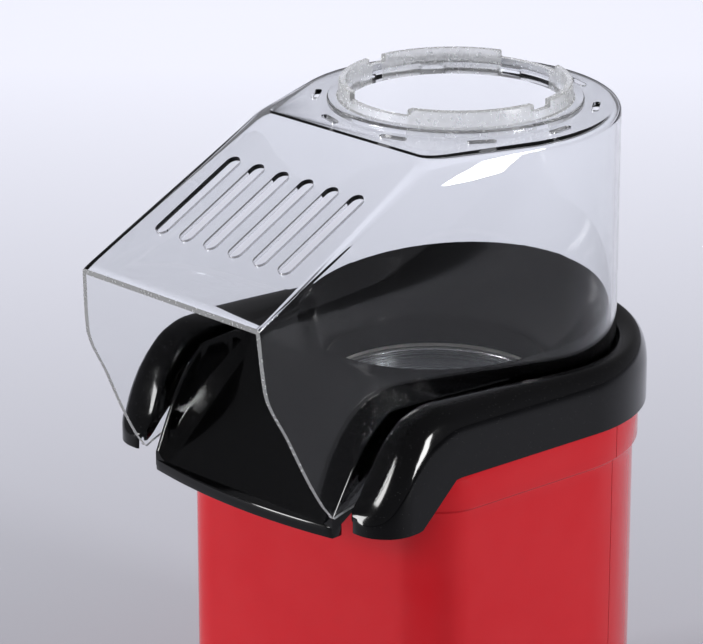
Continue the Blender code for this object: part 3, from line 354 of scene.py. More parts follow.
def circle_tree():
    """Nodes that copy a piece evenly round a circle, each turned to face out."""
    tree, given = start_tree("pieces_round_a_circle", [
        ("Piece", "NodeSocketObject"), ("Count", "NodeSocketInt"), ("Radius", "NodeSocketFloat"),
        ("Start", "NodeSocketFloat"), ("Centre", "NodeSocketVector"), ("Material", "NodeSocketMaterial"),
    ])
    index = add(tree, "GeometryNodeInputIndex")
    share = add(tree, "ShaderNodeMath", {0: index.outputs[0], 1: given.outputs["Count"]}, operation="DIVIDE")
    angle = add(tree, "ShaderNodeMath", {0: share.outputs[0], 1: math.tau, 2: given.outputs["Start"]},
                operation="MULTIPLY_ADD")
    across = add(tree, "ShaderNodeMath", {0: angle.outputs[0]}, operation="COSINE")
    along = add(tree, "ShaderNodeMath", {0: angle.outputs[0]}, operation="SINE")
    unit = add(tree, "ShaderNodeCombineXYZ", {"X": across.outputs[0], "Y": along.outputs[0]})
    spot = add(tree, "ShaderNodeVectorMath",
               {0: unit.outputs[0], 1: given.outputs["Radius"], 2: given.outputs["Centre"]},
               operation="MULTIPLY_ADD")
    points = add(tree, "GeometryNodePoints", {"Count": given.outputs["Count"], "Position": spot.outputs[0]})
    turn = add(tree, "ShaderNodeCombineXYZ", {"Z": angle.outputs[0]})
    return end_tree(tree, points.outputs[0], given, turn.outputs[0])


def row_tree():
    """Copies of a piece in a straight row."""
    tree, given = start_tree("pieces_in_a_row", [
        ("Piece", "NodeSocketObject"), ("Count", "NodeSocketInt"), ("First", "NodeSocketVector"),
        ("Step", "NodeSocketVector"), ("Material", "NodeSocketMaterial"),
    ])
    index = add(tree, "GeometryNodeInputIndex")
    spot = add(tree, "ShaderNodeVectorMath",
               {0: given.outputs["Step"], 1: index.outputs[0], 2: given.outputs["First"]},
               operation="MULTIPLY_ADD")
    points = add(tree, "GeometryNodePoints", {"Count": given.outputs["Count"], "Position": spot.outputs[0]})
    turn = add(tree, "ShaderNodeCombineXYZ")
    return end_tree(tree, points.outputs[0], given, turn.outputs[0])


def spots_tree():
    """Copies of a piece on the vertices of a mesh, each turned by the attribute named turn."""
    tree, given = start_tree("pieces_on_spots", [
        ("Piece", "NodeSocketObject"), ("Material", "NodeSocketMaterial"),
    ])
    turn = add(tree, "GeometryNodeInputNamedAttribute", {"Name": "turn"}, data_type="FLOAT_VECTOR")
    return end_tree(tree, given.outputs["Geometry"], given, turn.outputs["Attribute"])


def repeated(name, tree, piece, base=None, **inputs):
    """A plain mesh of the copies that a tree makes of a piece. The piece itself is then removed."""
    obj = bpy.data.objects.new(name, base or bpy.data.meshes.new(name))
    bpy.context.scene.collection.objects.link(obj)
    step = obj.modifiers.new("Copies", "NODES")
    step.node_group = tree
    values = {"Piece": piece, **inputs}
    for item in tree.interface.items_tree:
        if item.in_out == "INPUT" and item.name in values:
            step[item.identifier] = values[item.name]
    plain(obj)
    bpy.data.objects.remove(piece, do_unlink=True)
    return obj


def in_circle(name, piece, count, radius, centre):
    """Copies of a piece evenly round a circle, each turned to face out."""
    return repeated(name, circle_tree(), piece, Count=count, Radius=radius, Start=0.0, Centre=centre)


def at_spots(name, piece, material, spots):
    """Copies of a piece at spots of (x, y, z), turned head down where a spot ends with True."""
    base = bpy.data.meshes.new(name)
    base.from_pydata([spot[:3] for spot in spots], [], [])
    turns = base.attributes.new("turn", "FLOAT_VECTOR", "POINT")
    for item, spot in zip(turns.data, spots):
        item.vector = (math.pi if spot[3] else 0, 0, 0)
    return repeated(name, spots_tree(), piece, base, Material=material)


# -------- materials

NOISE_LOW, NOISE_HIGH = 0.3, 0.7         # most of a noise's values lie between these
BLACK, WHITE = (0, 0, 0), (1, 1, 1)


def material(name, base, roughness, **shader):
    """A material's tree, its Principled shader and its Object coordinates."""
    made = bpy.data.materials.new(name)
    made.use_nodes = True
    tree = made.node_tree
    node = tree.nodes["Principled BSDF"]
    node.inputs["Base Color"].default_value = (*base, 1)
    node.inputs["Roughness"].default_value = roughness
    for key, value in shader.items():
        node.inputs[key.replace("_", " ")].default_value = value
    where = add(tree, "ShaderNodeTexCoord")
    return made, tree, node, where.outputs["Object"]


def grain(tree, where, size, detail=2.0, stretch=(1, 1, 1)):
    """A noise whose features are about size across, in metres."""
    spread = add(tree, "ShaderNodeMapping", {"Vector": where, "Scale": stretch})
    settings = {"Vector": spread.outputs[0], "Scale": 1 / size, "Detail": detail}
    return add(tree, "ShaderNodeTexNoise", settings).outputs[0]


def ramp(tree, factor, low_at, low, high_at, high):
    """A colour that runs from low to high as factor goes from low_at to high_at."""
    node = add(tree, "ShaderNodeValToRGB", {"Fac": factor})
    for stop, place, shade in zip(node.color_ramp.elements, (low_at, high_at), (low, high)):
        stop.position = place
        stop.color = (*shade, 1)
    return node.outputs[0]


def rescaled(tree, value, from_min, from_max, to_min, to_max):
    """A value carried from one range to another, and held at its ends."""
    node = add(tree, "ShaderNodeMapRange", {"Value": value, "From Min": from_min, "From Max": from_max,
                                            "To Min": to_min, "To Max": to_max})
    return node.outputs[0]


def vary_colour(tree, node, factor, low, high):
    """Base colour that runs from low to high with a noise."""
    tree.links.new(ramp(tree, factor, NOISE_LOW, low, NOISE_HIGH, high), node.inputs["Base Color"])


def vary_roughness(tree, node, factor, low, high):
    tree.links.new(rescaled(tree, factor, NOISE_LOW, NOISE_HIGH, low, high), node.inputs["Roughness"])


def raise_surface(tree, node, factor, depth, strength=1.0):
    """Bump of the given real depth."""
    bump = add(tree, "ShaderNodeBump", {"Height": factor, "Distance": depth, "Strength": strength})
    tree.links.new(bump.outputs[0], node.inputs["Normal"])


def mixed(a, b, part):
    """The colour that lies a part of the way from a to b."""
    return [x + (y - x) * part for x, y in zip(a, b)]


def red_abs():
    """ABS moulded in a polished tool: an even, saturated red with a slightly wavy gloss."""
    red = chosen("colours").body
    made, tree, node, where = material("red_abs_polished_moulding", red, 0.14, IOR=1.54,
                                       Specular_IOR_Level=0.35)
    cloud = grain(tree, where, 30 * MM)
    vary_colour(tree, node, cloud, mixed(red, BLACK, 0.03), mixed(red, WHITE, 0.006))
    vary_roughness(tree, node, grain(tree, where, 9 * MM, 4), 0.12, 0.17)
    raise_surface(tree, node, grain(tree, where, 2.5 * MM), 0.004 * MM, 0.5)
    return made


def black_abs():
    """ABS moulded in a polished tool: a deep black with sharp streaks of light and fine dust."""
    black = chosen("colours").trim
    made, tree, node, where = material("black_abs_polished_moulding", black, 0.1, IOR=1.54,
                                       Specular_IOR_Level=0.3)
    dust = add(tree, "ShaderNodeTexVoronoi", {"Vector": where, "Scale": 1 / (1.6 * MM)}, feature="F1")
    speck = rescaled(tree, dust.outputs["Distance"], 0.05, 0.12, NOISE_HIGH, NOISE_LOW)
    vary_colour(tree, node, speck, black, mixed(black, WHITE, 0.035))
    vary_roughness(tree, node, grain(tree, where, 6 * MM, 4), 0.07, 0.13)
    raise_surface(tree, node, grain(tree, where, 2 * MM), 0.003 * MM, 0.5)
    return made


def textured_polypropylene():
    """Polypropylene from a spark-eroded tool: a dull black with a fine sandy grain."""
    black = chosen("colours").base
    made, tree, node, where = material("black_polypropylene_textured", black, 0.5, IOR=1.49,
                                       Specular_IOR_Level=0.3)
    sand = grain(tree, where, 0.5 * MM, 3)
    vary_roughness(tree, node, sand, 0.42, 0.58)
    raise_surface(tree, node, sand, 0.05 * MM)
    return made


def clear_san():
    """SAN moulded in a polished tool: water clear, with bright and dark lines at its edges."""
    tint = chosen("colours").clear
    made, tree, node, where = material("clear_san_polished_moulding", tint, 0.0, IOR=1.4,
                                       Transmission_Weight=1.0)
    raise_surface(tree, node, grain(tree, where, 40 * MM), 0.01 * MM, 0.3)
    return made


def satin_san():
    """The same SAN where the tool is not polished, on its edges and ring: it looks whitish."""
    tint = chosen("colours").clear
    made, tree, node, where = material("clear_san_satin_edge", tint, 0.22, IOR=1.4,
                                       Transmission_Weight=0.7)
    vary_roughness(tree, node, grain(tree, where, 1.5 * MM), 0.16, 0.3)
    return made


def spun_metal(name, code, roughness, spacing):
    """Sheet metal spun on a lathe: fine rings round its axis, brighter where they catch the light."""
    base = linear(code)
    made, tree, node, where = material(name, base, roughness, Metallic=1.0)
    centred = add(tree, "ShaderNodeMapping", {"Vector": where, "Location": (0, -AXIS_Y - CORE_Y, 0)})
    axes = add(tree, "ShaderNodeSeparateXYZ", {"Vector": centred.outputs[0]})
    flat = add(tree, "ShaderNodeCombineXYZ", {"X": axes.outputs["X"], "Y": axes.outputs["Y"]})
    reach = add(tree, "ShaderNodeVectorMath", {0: flat.outputs[0]}, operation="LENGTH")
    across = add(tree, "ShaderNodeCombineXYZ", {"X": reach.outputs["Value"], "Z": axes.outputs["Z"]})
    rings = add(tree, "ShaderNodeTexNoise",
                {"Vector": across.outputs[0], "Scale": 1 / spacing, "Detail": 3.0})
    vary_colour(tree, node, rings.outputs[0], mixed(base, BLACK, 0.12), base)
    vary_roughness(tree, node, rings.outputs[0], roughness - 0.07, roughness + 0.08)
    raise_surface(tree, node, rings.outputs[0], 0.02 * MM, 0.6)
    return made


def cloudy(name, tones, roughness, size, detail=4, stretch=WHITE, **shader):
    """A material whose colour and roughness drift together in soft patches about size across."""
    made, tree, node, where = material(name, tones[0], roughness[0], **shader)
    cloud = grain(tree, where, size, detail, stretch)
    vary_colour(tree, node, cloud, *tones)
    vary_roughness(tree, node, cloud, *roughness)
    return made, tree, node, where, cloud


def plated_steel():
    """Zinc plated steel: a cool grey with soft cloudy patches from the bath."""
    base = linear("B9BCC0")
    made, tree, node, where, _ = cloudy("zinc_plated_steel", (mixed(base, BLACK, 0.2), base), (0.26, 0.44),
                                        3 * MM, Metallic=1.0)
    raise_surface(tree, node, grain(tree, where, 0.4 * MM), 0.01 * MM, 0.5)
    return made


def soft_rubber(name, code, roughness):
    """Moulded elastomer: dull, with a faint even grain."""
    base = linear(code)
    made, tree, node, _, cloud = cloudy(name, (base, mixed(base, WHITE, 0.04)),
                                        (roughness - 0.08, roughness + 0.06), 0.8 * MM, IOR=1.52)
    raise_surface(tree, node, cloud, 0.03 * MM)
    return made


def black_rubber():
    """Rubber filled with carbon black, moulded: the feet and the grommet."""
    return soft_rubber("black_rubber_moulding", "1A1A1B", 0.72)


def mica_board():
    """Pressed mica paper: a speckled tan with small bright flakes."""
    made, tree, node, where = material("pressed_mica_board", linear("B8A07A"), 0.42, IOR=1.58)
    flakes = add(tree, "ShaderNodeTexVoronoi", {"Vector": where, "Scale": 1 / (1.4 * MM)}, feature="F1")
    shade = add(tree, "ShaderNodeSeparateColor", {"Color": flakes.outputs["Color"]})
    vary_colour(tree, node, shade.outputs[0], linear("8F7751"), linear("D3C19C"))
    vary_roughness(tree, node, shade.outputs[1], 0.25, 0.6)
    raise_surface(tree, node, flakes.outputs["Distance"], 0.04 * MM, 0.6)
    return made


def oxidised_wire():
    """Resistance wire after use: dark grey-brown oxide over bright metal."""
    tones = linear("3E3833"), linear("8C857C")
    return cloudy("oxidised_nickel_chrome_wire", tones, (0.35, 0.62), 1.2 * MM, Metallic=1.0)[0]


def paper_laminate():
    """Phenolic paper laminate: a brown board with faint fibres lying one way."""
    tones = linear("77491A"), linear("A06D30")
    return cloudy("phenolic_paper_laminate", tones, (0.4, 0.6), 1.5 * MM, 4, (1, 6, 1), IOR=1.6)[0]


def natural_nylon():
    """Moulded nylon, uncoloured: a milky off-white that lets a little light in."""
    base = linear("DEDCCF")
    return cloudy("natural_nylon_moulding", (mixed(base, BLACK, 0.06), base), (0.36, 0.48), 5 * MM, 3,
                  IOR=1.53, Subsurface_Weight=0.15, Subsurface_Scale=1 * MM)[0]


def gloss_phenolic():
    """Moulded phenolic, used for small hot or live parts: near black with a soft sheen."""
    base = linear("1B1816")
    return cloudy("phenolic_moulding", (base, mixed(base, WHITE, 0.05)), (0.26, 0.4), 0.9 * MM, IOR=1.6)[0]


FINISHES = {}


def finish(maker, *details):
    """Each material is made once."""
    key = (maker.__name__, *details)
    if key not in FINISHES:
        FINISHES[key] = maker(*details)
    return FINISHES[key]


# -------- outline of the body

def body_outline(outset):
    """Round behind, straight sides, rounded front corners."""
    sizes = chosen("body")
    radius = COLLAR_R - sizes.collar_outset + outset
    corner = sizes.corner + outset
    front = sizes.front + outset
    middle = radius - corner
    return (
        arc(0, 0, radius, 0, 180, ROUND)
        + arc(-middle, corner - front, corner, 180, 270, ROUND // 3)
        + arc(middle, corner - front, corner, 270, 360, ROUND // 3)
    )


def body_ring(outset, height, slope=0.0):
    return [(x, y, height + slope * y) for x, y in body_outline(outset)]


COLLAR_Z = SHELL_FOOT + 149.2 * MM       # lower edge of the collar at the cover's axis
COLLAR_SLOPE = -0.05                     # it rises towards the front
COLLAR_LAP = 6 * MM
BOSS_R = 4.5 * MM
BOSS_H = 18 * MM
BASE_RIM = 4.5 * MM
BASE_LIP = 3 * MM
SCREW_HOLE = 1.7 * MM
BOSS_SINK = 1.2 * MM                     # how far a boss is sunk into the shell's wall
REAR_BOSS_TURN = math.radians(42)        # from the side round to a rear boss
NOTCH_MARGIN = 15.3 * MM                 # the front shell's notch past each end of the chute's lip
NOTCH_DROP = 12 * MM                     # the notch's foot below the collar
CREASE_ROUND = 1.1 * MM                  # half height of the band's soft step
FAR = 0.4                                # larger than the object


def body_radius():
    return COLLAR_R - chosen("body").collar_outset


def drill(obj, depth, *spots):
    """Screw holes of one depth, centred on the spots."""
    return combine(obj, *[rod("drill", SCREW_HOLE, depth, spot, steps=16) for spot in spots])


def shell_screw_spots():
    sizes = chosen("body")
    inset = body_radius() - sizes.wall - BOSS_R + BOSS_SINK
    rear_x, rear_y = inset * math.cos(REAR_BOSS_TURN), inset * math.sin(REAR_BOSS_TURN)
    front_y = -sizes.front / 2
    return [(inset, front_y), (-inset, front_y), (rear_x, rear_y), (-rear_x, rear_y)]


def shell_profile():
    """The shell's outer face from its foot to its lap inside the collar, as (outset, height, slope)."""
    sizes = chosen("body")
    top = COLLAR_Z - GAP
    band = COLLAR_Z - sizes.band
    out = sizes.band_outset
    points = [(-0.5 * MM, SHELL_FOOT, 0), (-0.15 * MM, SHELL_FOOT + 0.15 * MM, 0)]
    points.append((0, SHELL_FOOT + 0.5 * MM, 0))
    for part in (0.25, 0.5, 0.75, 0.96):
        points.append((0, SHELL_FOOT + part * (band - SHELL_FOOT), COLLAR_SLOPE * part))
    for i in range(7):
        turn = math.pi * i / 6
        points.append((out * (1 - math.cos(turn)) / 2, band + CREASE_ROUND * (i - 3) / 3, COLLAR_SLOPE))
    lap = top + COLLAR_LAP
    upper = [(out, top - 0.6 * MM), (out - 0.2 * MM, top - 0.15 * MM), (out - 0.6 * MM, top), (0, top),
             (0, lap), (-sizes.wall, lap)]
    points += [(outset, height, COLLAR_SLOPE) for outset, height in upper]
    return points + [(-sizes.wall, SHELL_FOOT, 0)]


def shell(name, keep_front):
    """One half of the red body, cut at the seam, with its two screw bosses."""
    sizes = chosen("body")
    whole = skin(name, [body_ring(*place) for place in shell_profile()], closed=True)
    side = -1 if keep_front else 1
    trim = block("trim", (FAR, FAR, FAR), (0, sizes.seam - side * (FAR / 2 - GAP / 2), 0.15))
    combine(whole, trim)
    foot = SHELL_FOOT + BASE_LIP + GAP
    spots = shell_screw_spots()[:2] if keep_front else shell_screw_spots()[2:]
    for x, y in spots:
        combine(whole, rod("boss", BOSS_R, BOSS_H, (x, y, foot + BOSS_H / 2)), operation="UNION")
        drill(whole, BOSS_H, (x, y, foot - 1 * MM + BOSS_H / 2))
    return whole


def make_shells():
    red = finish(red_abs)
    sizes = chosen("body")
    front = shell("front_shell_finish", True)
    width = 2 * (LIP_HALF + NOTCH_MARGIN)
    combine(front, block("notch", (width, 60 * MM, 0.1), (0, -sizes.front, COLLAR_Z - NOTCH_DROP + 0.05)))
    ready(front, red, "machine", ["front_shell"])
    rear = shell("rear_shell_finish", False)
    radius = body_radius()
    combine(rear, block("opening", (SWITCH_W + 2 * GAP, 0.03, SWITCH_H + 2 * GAP), (0, radius, SWITCH_Z)))
    hole = GLAND_BORE + GLAND_WALL + GAP
    combine(rear, rod("opening", hole, 0.02, (0, radius, GLAND_Z), (math.pi / 2, 0, 0), steps=48))
    ready(rear, red, "machine", ["rear_shell"])


# -------- base, feet and screws

POST_R = 4 * MM
POST_RING = 55.5 * MM
FOOT_R = 7 * MM
FOOT_PEG = 0.4 * FOOT_R
FOOT_INSET = 20 * MM
REAR_FOOT_TURN = math.radians(50)        # from the side round to a rear foot
INTAKE_R = 24 * MM
INTAKES = 16
TIE_R = 51.8 * MM
SCREW_R = 1.4 * MM
SCREW_HEAD_R = 2.8 * MM
SCREW_HEAD_H = 1.8 * MM
SCREW_L = 9 * MM


def foot_spots():
    sizes = chosen("body")
    radius = body_radius()
    front_x, front_y = radius - 1.3 * FOOT_INSET, FOOT_INSET - sizes.front
    rear = radius - 0.64 * FOOT_INSET
    rear_x, rear_y = rear * math.cos(REAR_FOOT_TURN), rear * math.sin(REAR_FOOT_TURN)
    return [(front_x, front_y), (-front_x, front_y), (rear_x, rear_y), (-rear_x, rear_y)]


def make_base():
    sizes = chosen("body")
    inner = -sizes.wall - GAP
    out = 0.8 * MM
    rim = FOOT_H + BASE_RIM
    lip = rim + BASE_LIP
    profile = [
        (out - 1.2 * MM, FOOT_H), (out - 0.5 * MM, FOOT_H + 0.2 * MM), (out - 0.15 * MM, FOOT_H + 0.5 * MM),
        (out, FOOT_H + 1.2 * MM), (out, rim - 0.5 * MM), (out - 0.15 * MM, rim - 0.15 * MM),
        (out - 0.5 * MM, rim), (inner, rim), (inner, lip), (inner - sizes.wall, lip),
        (inner - sizes.wall, FOOT_H + 3 * MM),
    ]
    base = skin("base_plate_finish", [body_ring(*place) for place in profile])
    low, high = FOOT_H + 1 * MM, DECK_Z - GAP
    for x, y, _ in around(POST_RING, 4, 45, CORE_Y):
        combine(base, rod("post", POST_R, high - low, (x, y, (low + high) / 2)), operation="UNION")
        drill(base, 20 * MM, (x, y, DECK_Z - 6 * MM))
    for x, y in shell_screw_spots():
        combine(base, rod("sink", SCREW_HEAD_R + GAP, 4 * MM, (x, y, FOOT_H)))
        drill(base, 30 * MM, (x, y, FOOT_H))
    for x, y in foot_spots():
        combine(base, rod("peg", FOOT_PEG + GAP, 20 * MM, (x, y, FOOT_H)))
    slot = block("slot", (INTAKE_R, 2.6 * MM, 12 * MM), (0, 0, 0), rounding=1.1 * MM)
    slots = in_circle("intakes", slot, INTAKES, INTAKE_R, (0, CORE_Y, FOOT_H))
    combine(base, slots)
    ready(base, finish(textured_polypropylene), "machine", ["base_plate"])


def make_feet():
    top = FOOT_H + 3 * MM - GAP
    under = FOOT_H - GAP
    profile = [(0, top), (FOOT_PEG - 0.4 * MM, top), (FOOT_PEG, top - 0.4 * MM), (FOOT_PEG, under)]
    profile += [(FOOT_R - 0.5 * MM, under), (FOOT_R, under - 0.5 * MM)]
    profile += arc(FOOT_R - 0.9 * MM, 0.9 * MM, 0.9 * MM, 0, -90, 5)
    profile += [(FOOT_R - 2.4 * MM, 0), (FOOT_R - 2.8 * MM, 0.5 * MM), (0, 0.5 * MM)]
    foot = turned("foot", profile, steps=48)
    rubber = finish(black_rubber)
    feet = at_spots("feet_finish", foot, rubber, [(x, y, 0, False) for x, y in foot_spots()])
    ready(feet, rubber, "machine", [f"foot_{i + 1}" for i in range(4)])


def pan_screw(reach):
    """A pan head screw with a cross recess: its head is below the origin and its shank points up."""
    dome = [(SCREW_HEAD_R * math.cos(a), -SCREW_HEAD_H * (0.35 + 0.65 * math.sin(a)))
            for a in [math.pi / 2 * i / 6 for i in range(7)]]
    profile = [(0, reach), (SCREW_R * 0.5, reach), (SCREW_R, reach - 1.4 * MM), (SCREW_R, 0)]
    profile += [(SCREW_HEAD_R, 0)] + dome[:-1] + [(0, -SCREW_HEAD_H)]
    screw = turned("screw", profile, steps=24)
    for turn in (0, math.pi / 2):
        combine(screw, block("recess", (3 * MM, 0.7 * MM, 1.8 * MM), (0, 0, -SCREW_HEAD_H), (0, 0, turn)))
    return screw


def make_screws():
    steel = finish(plated_steel)
    groups = {
        "base_screws_finish": ("base_screw", 15 * MM, [(x, y, FOOT_H + 2 * MM - GAP, False)
                                                       for x, y in shell_screw_spots()]),
        "deck_screws_finish": ("deck_screw", SCREW_L, [(x, y, DECK_Z + 2.7 * MM, True)
                                                       for x, y, _ in around(POST_RING, 4, 45, CORE_Y)]),
        "motor_screws_finish": ("motor_screw", 6 * MM, [(x, CORE_Y, DECK_Z + 2.7 * MM, True)
                                                        for x in (-11 * MM, 11 * MM)]),
        "chamber_screws_finish": ("chamber_screw", 8 * MM, [(x, y, DUCT_TOP - 1.5 * MM, False)
                                                            for x, y, _ in around(TIE_R, 3, 90, CORE_Y)]),
    }
    for name, (node, reach, spots) in groups.items():
        screws = at_spots(name, pan_screw(reach), steel, spots)
        ready(screws, steel, "machine", [f"{node}_{i + 1}" for i in range(len(spots))])


# -------- clear cover

COVER_TOP = RING_TOP - 8.3 * MM
CREASE_X = 44.9 * MM
CREASE_Y = 59.2 * MM
ROOF_FRONT_X = 46.5 * MM
ROOF_FRONT_Z = COVER_TOP - 42.3 * MM
TIP_Y = WING_FRONT + 3.5 * MM
TIP_X = 51 * MM
WING_FOOT_Y = WING_FRONT - 18.5 * MM
ROOF_SLOPE = math.atan2(COVER_TOP - ROOF_FRONT_Z, ROOF_FRONT_Y - CREASE_Y)
COVER_FOOT = TIP_Z + 23.9 * MM
RING_R = 44.1 * MM
RING_HOLE_R = 41.6 * MM
RING_FLANGE_R = 48.6 * MM
VENT_R = 53 * MM
CORNER_STEPS = 8                         # on the rounding between roof and side
SIDE_STEPS = 10                          # along a straight side
OPEN_DROP = 6 * MM                       # the front is left open from here down, below the roof's edge
MOUTH = [(0, 1), (0.3, 0.93), (0.56, 0.61), (0.81, 0.29), (1, 0)]


def mouth_y(height):
    """How far ahead of the axis the mouth's edge lies at a height."""
    part = (ROOF_FRONT_Z - height) / (ROOF_FRONT_Z - TIP_Z)
    return TIP_Y + (ROOF_FRONT_Y - TIP_Y) * smooth(MOUTH, part)


def roof_y(height):
    """How far ahead of the axis the roof's plane lies at a height."""
    return CREASE_Y + (COVER_TOP - height) / math.tan(ROOF_SLOPE)


def hood_side(height):
    """Where a side wall leaves the round wall, its direction forward, and where it ends."""
    if height >= ROOF_FRONT_Z:
        part = (COVER_TOP - height) / (COVER_TOP - ROOF_FRONT_Z)
        x = CREASE_X + (ROOF_FRONT_X - CREASE_X) * part
        y = roof_y(height)
    else:
        part = (ROOF_FRONT_Z - height) / (ROOF_FRONT_Z - TIP_Z)
        x = ROOF_FRONT_X + (TIP_X - ROOF_FRONT_X) * part
        y = mouth_y(height)
    lean = math.atan2(-y, x) + math.acos(COVER_R / math.hypot(x, y))
    out = Vector((math.cos(lean), math.sin(lean)))
    ahead = Vector((math.sin(lean), -math.cos(lean)))
    return out, ahead, Vector((x, -y)), lean


def cover_half(height):
    """Right half of the cover's outline at a height, from the front line round to the middle of the back."""
    sizes = chosen("cover")
    out, ahead, end, lean = hood_side(height)
    drop = height - (COVER_TOP - sizes.shoulder)
    inset = sizes.shoulder - math.sqrt(max(0, sizes.shoulder ** 2 - drop ** 2)) if drop > 0 else 0.0
    open_z = ROOF_FRONT_Z - OPEN_DROP
    start = (COVER_R - inset) * out
    end = end - inset * out
    if height >= open_z - 1e-6:
        front = -roof_y(height)
        end = end + ahead * ((front - end.y) / ahead.y)
        share = max(0, min(1, (height - ROOF_FRONT_Z) / (COVER_TOP - ROOF_FRONT_Z)))
        rise = sizes.roof_edge + (sizes.roof_corner - sizes.roof_edge) * share ** 1.5
        back = min(rise / math.tan(ROOF_SLOPE), 0.8 * (end - start).length)
        first = end - Vector((rise, 0))
        last = end - ahead * back
        corner = []
        for i in range(CORNER_STEPS + 1):
            t = i / CORNER_STEPS
            corner.append((1 - t) ** 2 * first + 2 * t * (1 - t) * end + t * t * last)
    else:
        far = end + ahead * 14 * MM
        last = far - ahead * 6 * MM
        corner = [far + (last - far) * i / CORNER_STEPS for i in range(CORNER_STEPS + 1)]
    side = [last + (start - last) * i / SIDE_STEPS for i in range(1, SIDE_STEPS)]
    radius = COVER_R - inset
    back_arc = [Vector(point) for point in arc(0, 0, radius, math.degrees(lean), 90, ROUND)]
    return corner + side + back_arc


def cover_outline(height):
    right = [(p.x, p.y, height) for p in cover_half(height)]
    return right + [(-x, y, z) for x, y, z in reversed(right[:-1])]


def cover_levels():
    sizes = chosen("cover")
    side = ROOF_FRONT_Z - TIP_Z
    low = [TIP_Z - 5 * MM + (side - 3 * MM) * i / 14 for i in range(15)]
    open_z = ROOF_FRONT_Z - OPEN_DROP
    roof = [open_z + (COVER_TOP - sizes.shoulder - open_z) * i / 12 for i in range(13)]
    shoulder = [COVER_TOP - sizes.shoulder * (1 - math.sin(math.pi / 2 * i / 7)) for i in range(1, 8)]
    return low, roof, shoulder


def trim_outline():
    """Everything below the cover's lower edge and ahead of its mouth, as (y, z)."""
    edge = [(50, 0), (30, 3.2), (16, 2.7), (7, -1.8), (-1, -9.8), (-6, -18.8)]
    points = [(MM * ahead, COVER_FOOT + rise * MM) for ahead, rise in edge]
    points.append((WING_FOOT_Y + 4 * MM - TIP_Y, TIP_Z + 1.2 * MM))
    tip = WING_FOOT_Y - TIP_Y
    outline = [(0.1, COVER_FOOT), (50 * MM - WING_FOOT_Y, COVER_FOOT)]
    steps = 40
    last = tip + 4 * MM
    for i in range(1, steps + 1):
        ahead = 50 * MM + (last - 50 * MM) * i / steps
        outline.append((ahead - WING_FOOT_Y, smooth(points, ahead)))
    outline += [(y - TIP_Y + 1.6 * MM, z + TIP_Z + 1.9 * MM) for y, z in arc(0, 0, 1.8 * MM, 250, 190, 5)]
    for i in range(3, 41):
        height = TIP_Z + (ROOF_FRONT_Z - TIP_Z) * i / 40
        outline.append((-mouth_y(height), height))
    front = -ROOF_FRONT_Y - 60 * MM
    above = ROOF_FRONT_Z + 20 * MM
    return outline + [(-ROOF_FRONT_Y, above), (front, above), (front, 0.05), (0.1, 0.05)]


def cover_ring_solid():
    top = COVER_TOP
    bore = RING_HOLE_R - 2 * MM
    rounding = 0.7 * MM
    profile = [(bore, RING_TOP), (RING_R - rounding, RING_TOP)]
    profile += arc(RING_R - rounding, RING_TOP - rounding, rounding, 90, 0, 4)[1:]
    profile += [(RING_R + 0.3 * MM, top + 2.6 * MM), (RING_R + 0.9 * MM, top + 1.9 * MM)]
    profile += [(RING_FLANGE_R - rounding, top + 1.8 * MM)]
    profile += arc(RING_FLANGE_R - rounding, top + 1.8 * MM - rounding, rounding, 90, 0, 4)[1:]
    profile += [(RING_FLANGE_R, top - 0.6 * MM), (bore, top - 0.6 * MM)]
    return turned("ring", profile)


def slot_solid(name, reach, width, depth):
    """A slot's round-ended cutter, centred, along X."""
    half = (reach - width) / 2
    outline = arc(half, 0, width / 2, -90, 90, 12) + arc(-half, 0, width / 2, 90, 270, 12)
    return prism(name, outline, -depth / 2, depth / 2)


def make_cover():
    sizes = chosen("cover")
    low, roof, shoulder = cover_levels()
    levels = low + roof + shoulder
    rings = [cover_outline(height) for height in levels]
    count = len(rings[0])
    open_front = {(level, count - 1) for level in range(len(low))}
    cover = skin("clear_cover_finish", rings, capped=False, skip=open_front)
    bm = bmesh.new()
    bm.from_mesh(cover.data)
    plate = [edge for edge in bm.edges
             if edge.is_boundary and all(vert.co.z > COVER_TOP - 0.01 * MM for vert in edge.verts)]
    bmesh.ops.contextual_create(bm, geom=plate)
    bmesh.ops.recalc_face_normals(bm, faces=bm.faces)
    top_face = max(bm.faces, key=lambda face: face.calc_center_median().z)
    if top_face.normal.z < 0:
        bmesh.ops.reverse_faces(bm, faces=bm.faces)
    bm.to_mesh(cover.data)
    bm.free()
    wall = cover.modifiers.new("Wall", "SOLIDIFY")
    wall.thickness = sizes.wall
    wall.offset = -1
    wall.use_even_offset = True
    plain(cover)
    combine(cover, prism("trim", trim_outline(), -0.1, 0.1, "X"))
    combine(cover, cover_ring_solid(), operation="UNION")
    combine(cover, rod("hole", RING_HOLE_R, 0.03, (0, 0, COVER_TOP), steps=2 * ROUND))
    combine(cover, *cover_openings())
    ready(cover, finish(clear_san), "cover", ["clear_cover"], sharp=30)
    cover.data.materials.append(finish(satin_san))
    for face in cover.data.polygons:
        if on_cut_edge(face):
            face.material_index = 1


def on_cut_edge(face):
    """True on the narrow faces along the mouth and the cover's foot, and on the ring's walls."""
    middle, normal = face.center, face.normal
    if middle.z > COVER_TOP + 2 * MM and math.hypot(middle.x, middle.y - AXIS_Y) < RING_R + 1 * MM:
        return True
    if abs(normal.x) > 0.02:
        return False
    return (normal.y < -0.5 and normal.z < 0.3 and middle.y < -0.05) or (normal.z < -0.5 and middle.z < 0.2)


